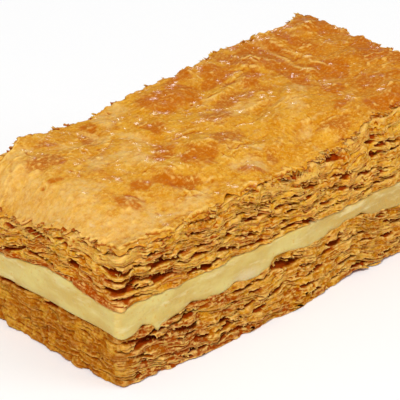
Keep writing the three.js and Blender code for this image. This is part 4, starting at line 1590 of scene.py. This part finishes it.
def custard_material():
    """Set custard: smooth pale yellow with faint mottling."""
    s = Shader("custard")
    far, milky = s.look()[:2]
    soft = s.ramp(s.noise(6, 3, 0.5, (0.6, 0.6, 1.3)), 0.35, 0.68)
    streaks = s.ramp(s.noise(3.0, 4, 0.6, (0.35, 0.35, 1.4)), 0.52, 0.7)
    specks = s.ramp(s.noise(1.1, 2, 0.5), 0.6, 0.74)
    face = s.layers(
        (199, 167, 85),
        (soft, (211, 190, 113)),
        (s.ramp(far, 0, 1, 0, 0.8), (188, 150, 72)),
        (s.ramp(milky, 0, 1, 0, 0.6), (206, 182, 146)),
        (s.times(streaks, 0.7), (220, 202, 144)),
        (s.times(specks, 0.65), (204, 156, 60)))
    normal = s.bump(s.noise(1.6, 4, 0.6), 0.3)
    return s.finish(
        face, normal, Roughness=0.45, Specular_IOR_Level=0.25, Subsurface_Weight=0.3,
        Subsurface_Radius=(1.0, 0.6, 0.25), Subsurface_Scale=0.002)


def floor_material():
    s = Shader("floor")
    s.set(s.surface.inputs["Base Color"], (1.0, 1.0, 1.0))
    s.set(s.surface.inputs["Roughness"], 0.9)
    return s.material


# ---------------------------------------------------------------------------------------------
# Stage, light and camera.

def camera_axes():
    """The camera's directions to its right, upwards and back from the slice."""
    azimuth, elevation = np.radians(CAMERA_AZIMUTH), np.radians(CAMERA_ELEVATION)
    back = np.array([
        np.sin(azimuth) * np.cos(elevation), -np.cos(azimuth) * np.cos(elevation), np.sin(elevation)])
    right = np.array([np.cos(azimuth), np.sin(azimuth), 0.0])
    return right, np.cross(back, right), back


def make_camera():
    right, up, back = camera_axes()
    data = bpy.data.cameras.new("camera")
    data.sensor_width = SENSOR
    data.lens = FOCAL_PIXELS / FRAME_PIXELS * SENSOR
    data.clip_end = 10
    camera = bpy.data.objects.new("camera", data)
    place = Place.origin + back * CAMERA_DISTANCE + right * CAMERA_RIGHT + up * CAMERA_UP
    turn = Matrix((Vector(right), Vector(up), Vector(back))).transposed()
    camera.matrix_world = Matrix.Translation(Vector(place * MM)) @ turn.to_4x4()
    bpy.context.scene.collection.objects.link(camera)
    bpy.context.scene.camera = camera


def area_light(name, place, size, power):
    """A square white light aimed at the middle of the slice."""
    data = bpy.data.lights.new(name, "AREA")
    data.size = size
    data.energy = power
    light = bpy.data.objects.new(name, data)
    light.location = place
    towards = Vector((0, 0, MIDDLE_HEIGHT)) - Vector(place)
    light.rotation_euler = towards.to_track_quat("-Z", "Y").to_euler()
    bpy.context.scene.collection.objects.link(light)


def make_stage():
    """A plain pale floor, a white surround and soft studio lights."""
    bpy.ops.mesh.primitive_plane_add(size=FLOOR_SIZE)
    floor = bpy.context.object
    floor.name = "floor"
    floor.data.materials.append(floor_material())
    world = bpy.data.worlds.new("world")
    world.use_nodes = True
    background = world.node_tree.nodes["Background"]
    background.inputs["Color"].default_value = (1, 1, 1, 1)
    background.inputs["Strength"].default_value = SURROUND
    bpy.context.scene.world = world
    area_light("key", (-1.3, -1.0, 1.75), 0.5, 45)
    area_light("fill", (0.9, -1.3, 1.0), 1.0, 6.5)
    area_light("glint", (0.45, 0.5, 0.36), 0.1, 0.5)
    view = bpy.context.scene.view_settings
    view.view_transform = "Standard"
    view.look = "None"


# ---------------------------------------------------------------------------------------------
# The slice.

def flakes(name, seats, sizes, material, seed, dull_end, tones=(0.0, 1.0)):
    """One piece of small flakes on these seats, with tones between these two."""
    pattern = flake_pattern(*SMALL_FLAKE)
    points, triangles = flake_field(seats, sizes, pattern, seed)
    count, each = len(sizes[0]), len(pattern[0])
    key = np.repeat(np.arange(count), each)
    reach = np.tile(pattern[0][:, 1], count)
    # Painted highlight towards the flakes' tips, painted shade on their undersides and towards their
    # roots.
    tip = 0.5 + 0.3 * reach * draw(key, seed + 20)
    under = np.tile(pattern[0][:, 2] < 0, count)
    hollow = np.where(under, 0.5, 0.25 * (1 - reach))
    dull = dull_end * end_share(np.repeat(seats[0][:, 0], each))
    look = np.stack([hollow, tip, mix(tones, draw(key, seed + 21)), dull], axis=-1)
    return make_object(name, points, triangles, look, material, smooth=False)


def dress(piece, node, slot):
    """Let a piece ride on the slice's body in place of a solid, which is hidden. The slot is not used."""
    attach(piece, "root")
    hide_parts(node)


def make_slice():
    dress(custard(custard_material()), "custard", "custard")
    plain = leaf_material("plain_leaves", PLAIN_LEAVES)
    baked = leaf_material("baked_leaves", BAKED_LEAVES)
    for slab, material, node, slot, seed in (
            (LOWER, plain, "pastry_bottom", "plain_pastry", 8100),
            (UPPER, baked, "pastry_top", "glazed_pastry", 8500)):
        piece, side = leaves(slab, material)
        dress(piece, node, slot)
        name = slab.name.replace("leaves", "flakes")
        seats, sizes = lip_flakes(side, LIP_FLAKES[slab.name], seed)
        dress(flakes(name, seats, sizes, material, seed, slab.dull_end), node, slot)
        name = slab.name.replace("leaves", "sheet_edges")
        strips = sheet_edges(side, SHEET_EDGES[slab.name], seed + 50)
        dress(make_object(name, *strips, material, smooth=False), node, slot)
    dress(crust(crust_material(), side), "pastry_top", "glazed_pastry")
    seed = 8900
    seats, sizes = rim_flakes(side, RIM_FLAKES, seed)
    rim = flakes("rim_flakes", seats, sizes, baked, seed, UPPER.dull_end, (-0.4, 0.6))
    dress(rim, "pastry_top", "glazed_pastry")


make_slice()
make_stage()
make_camera()
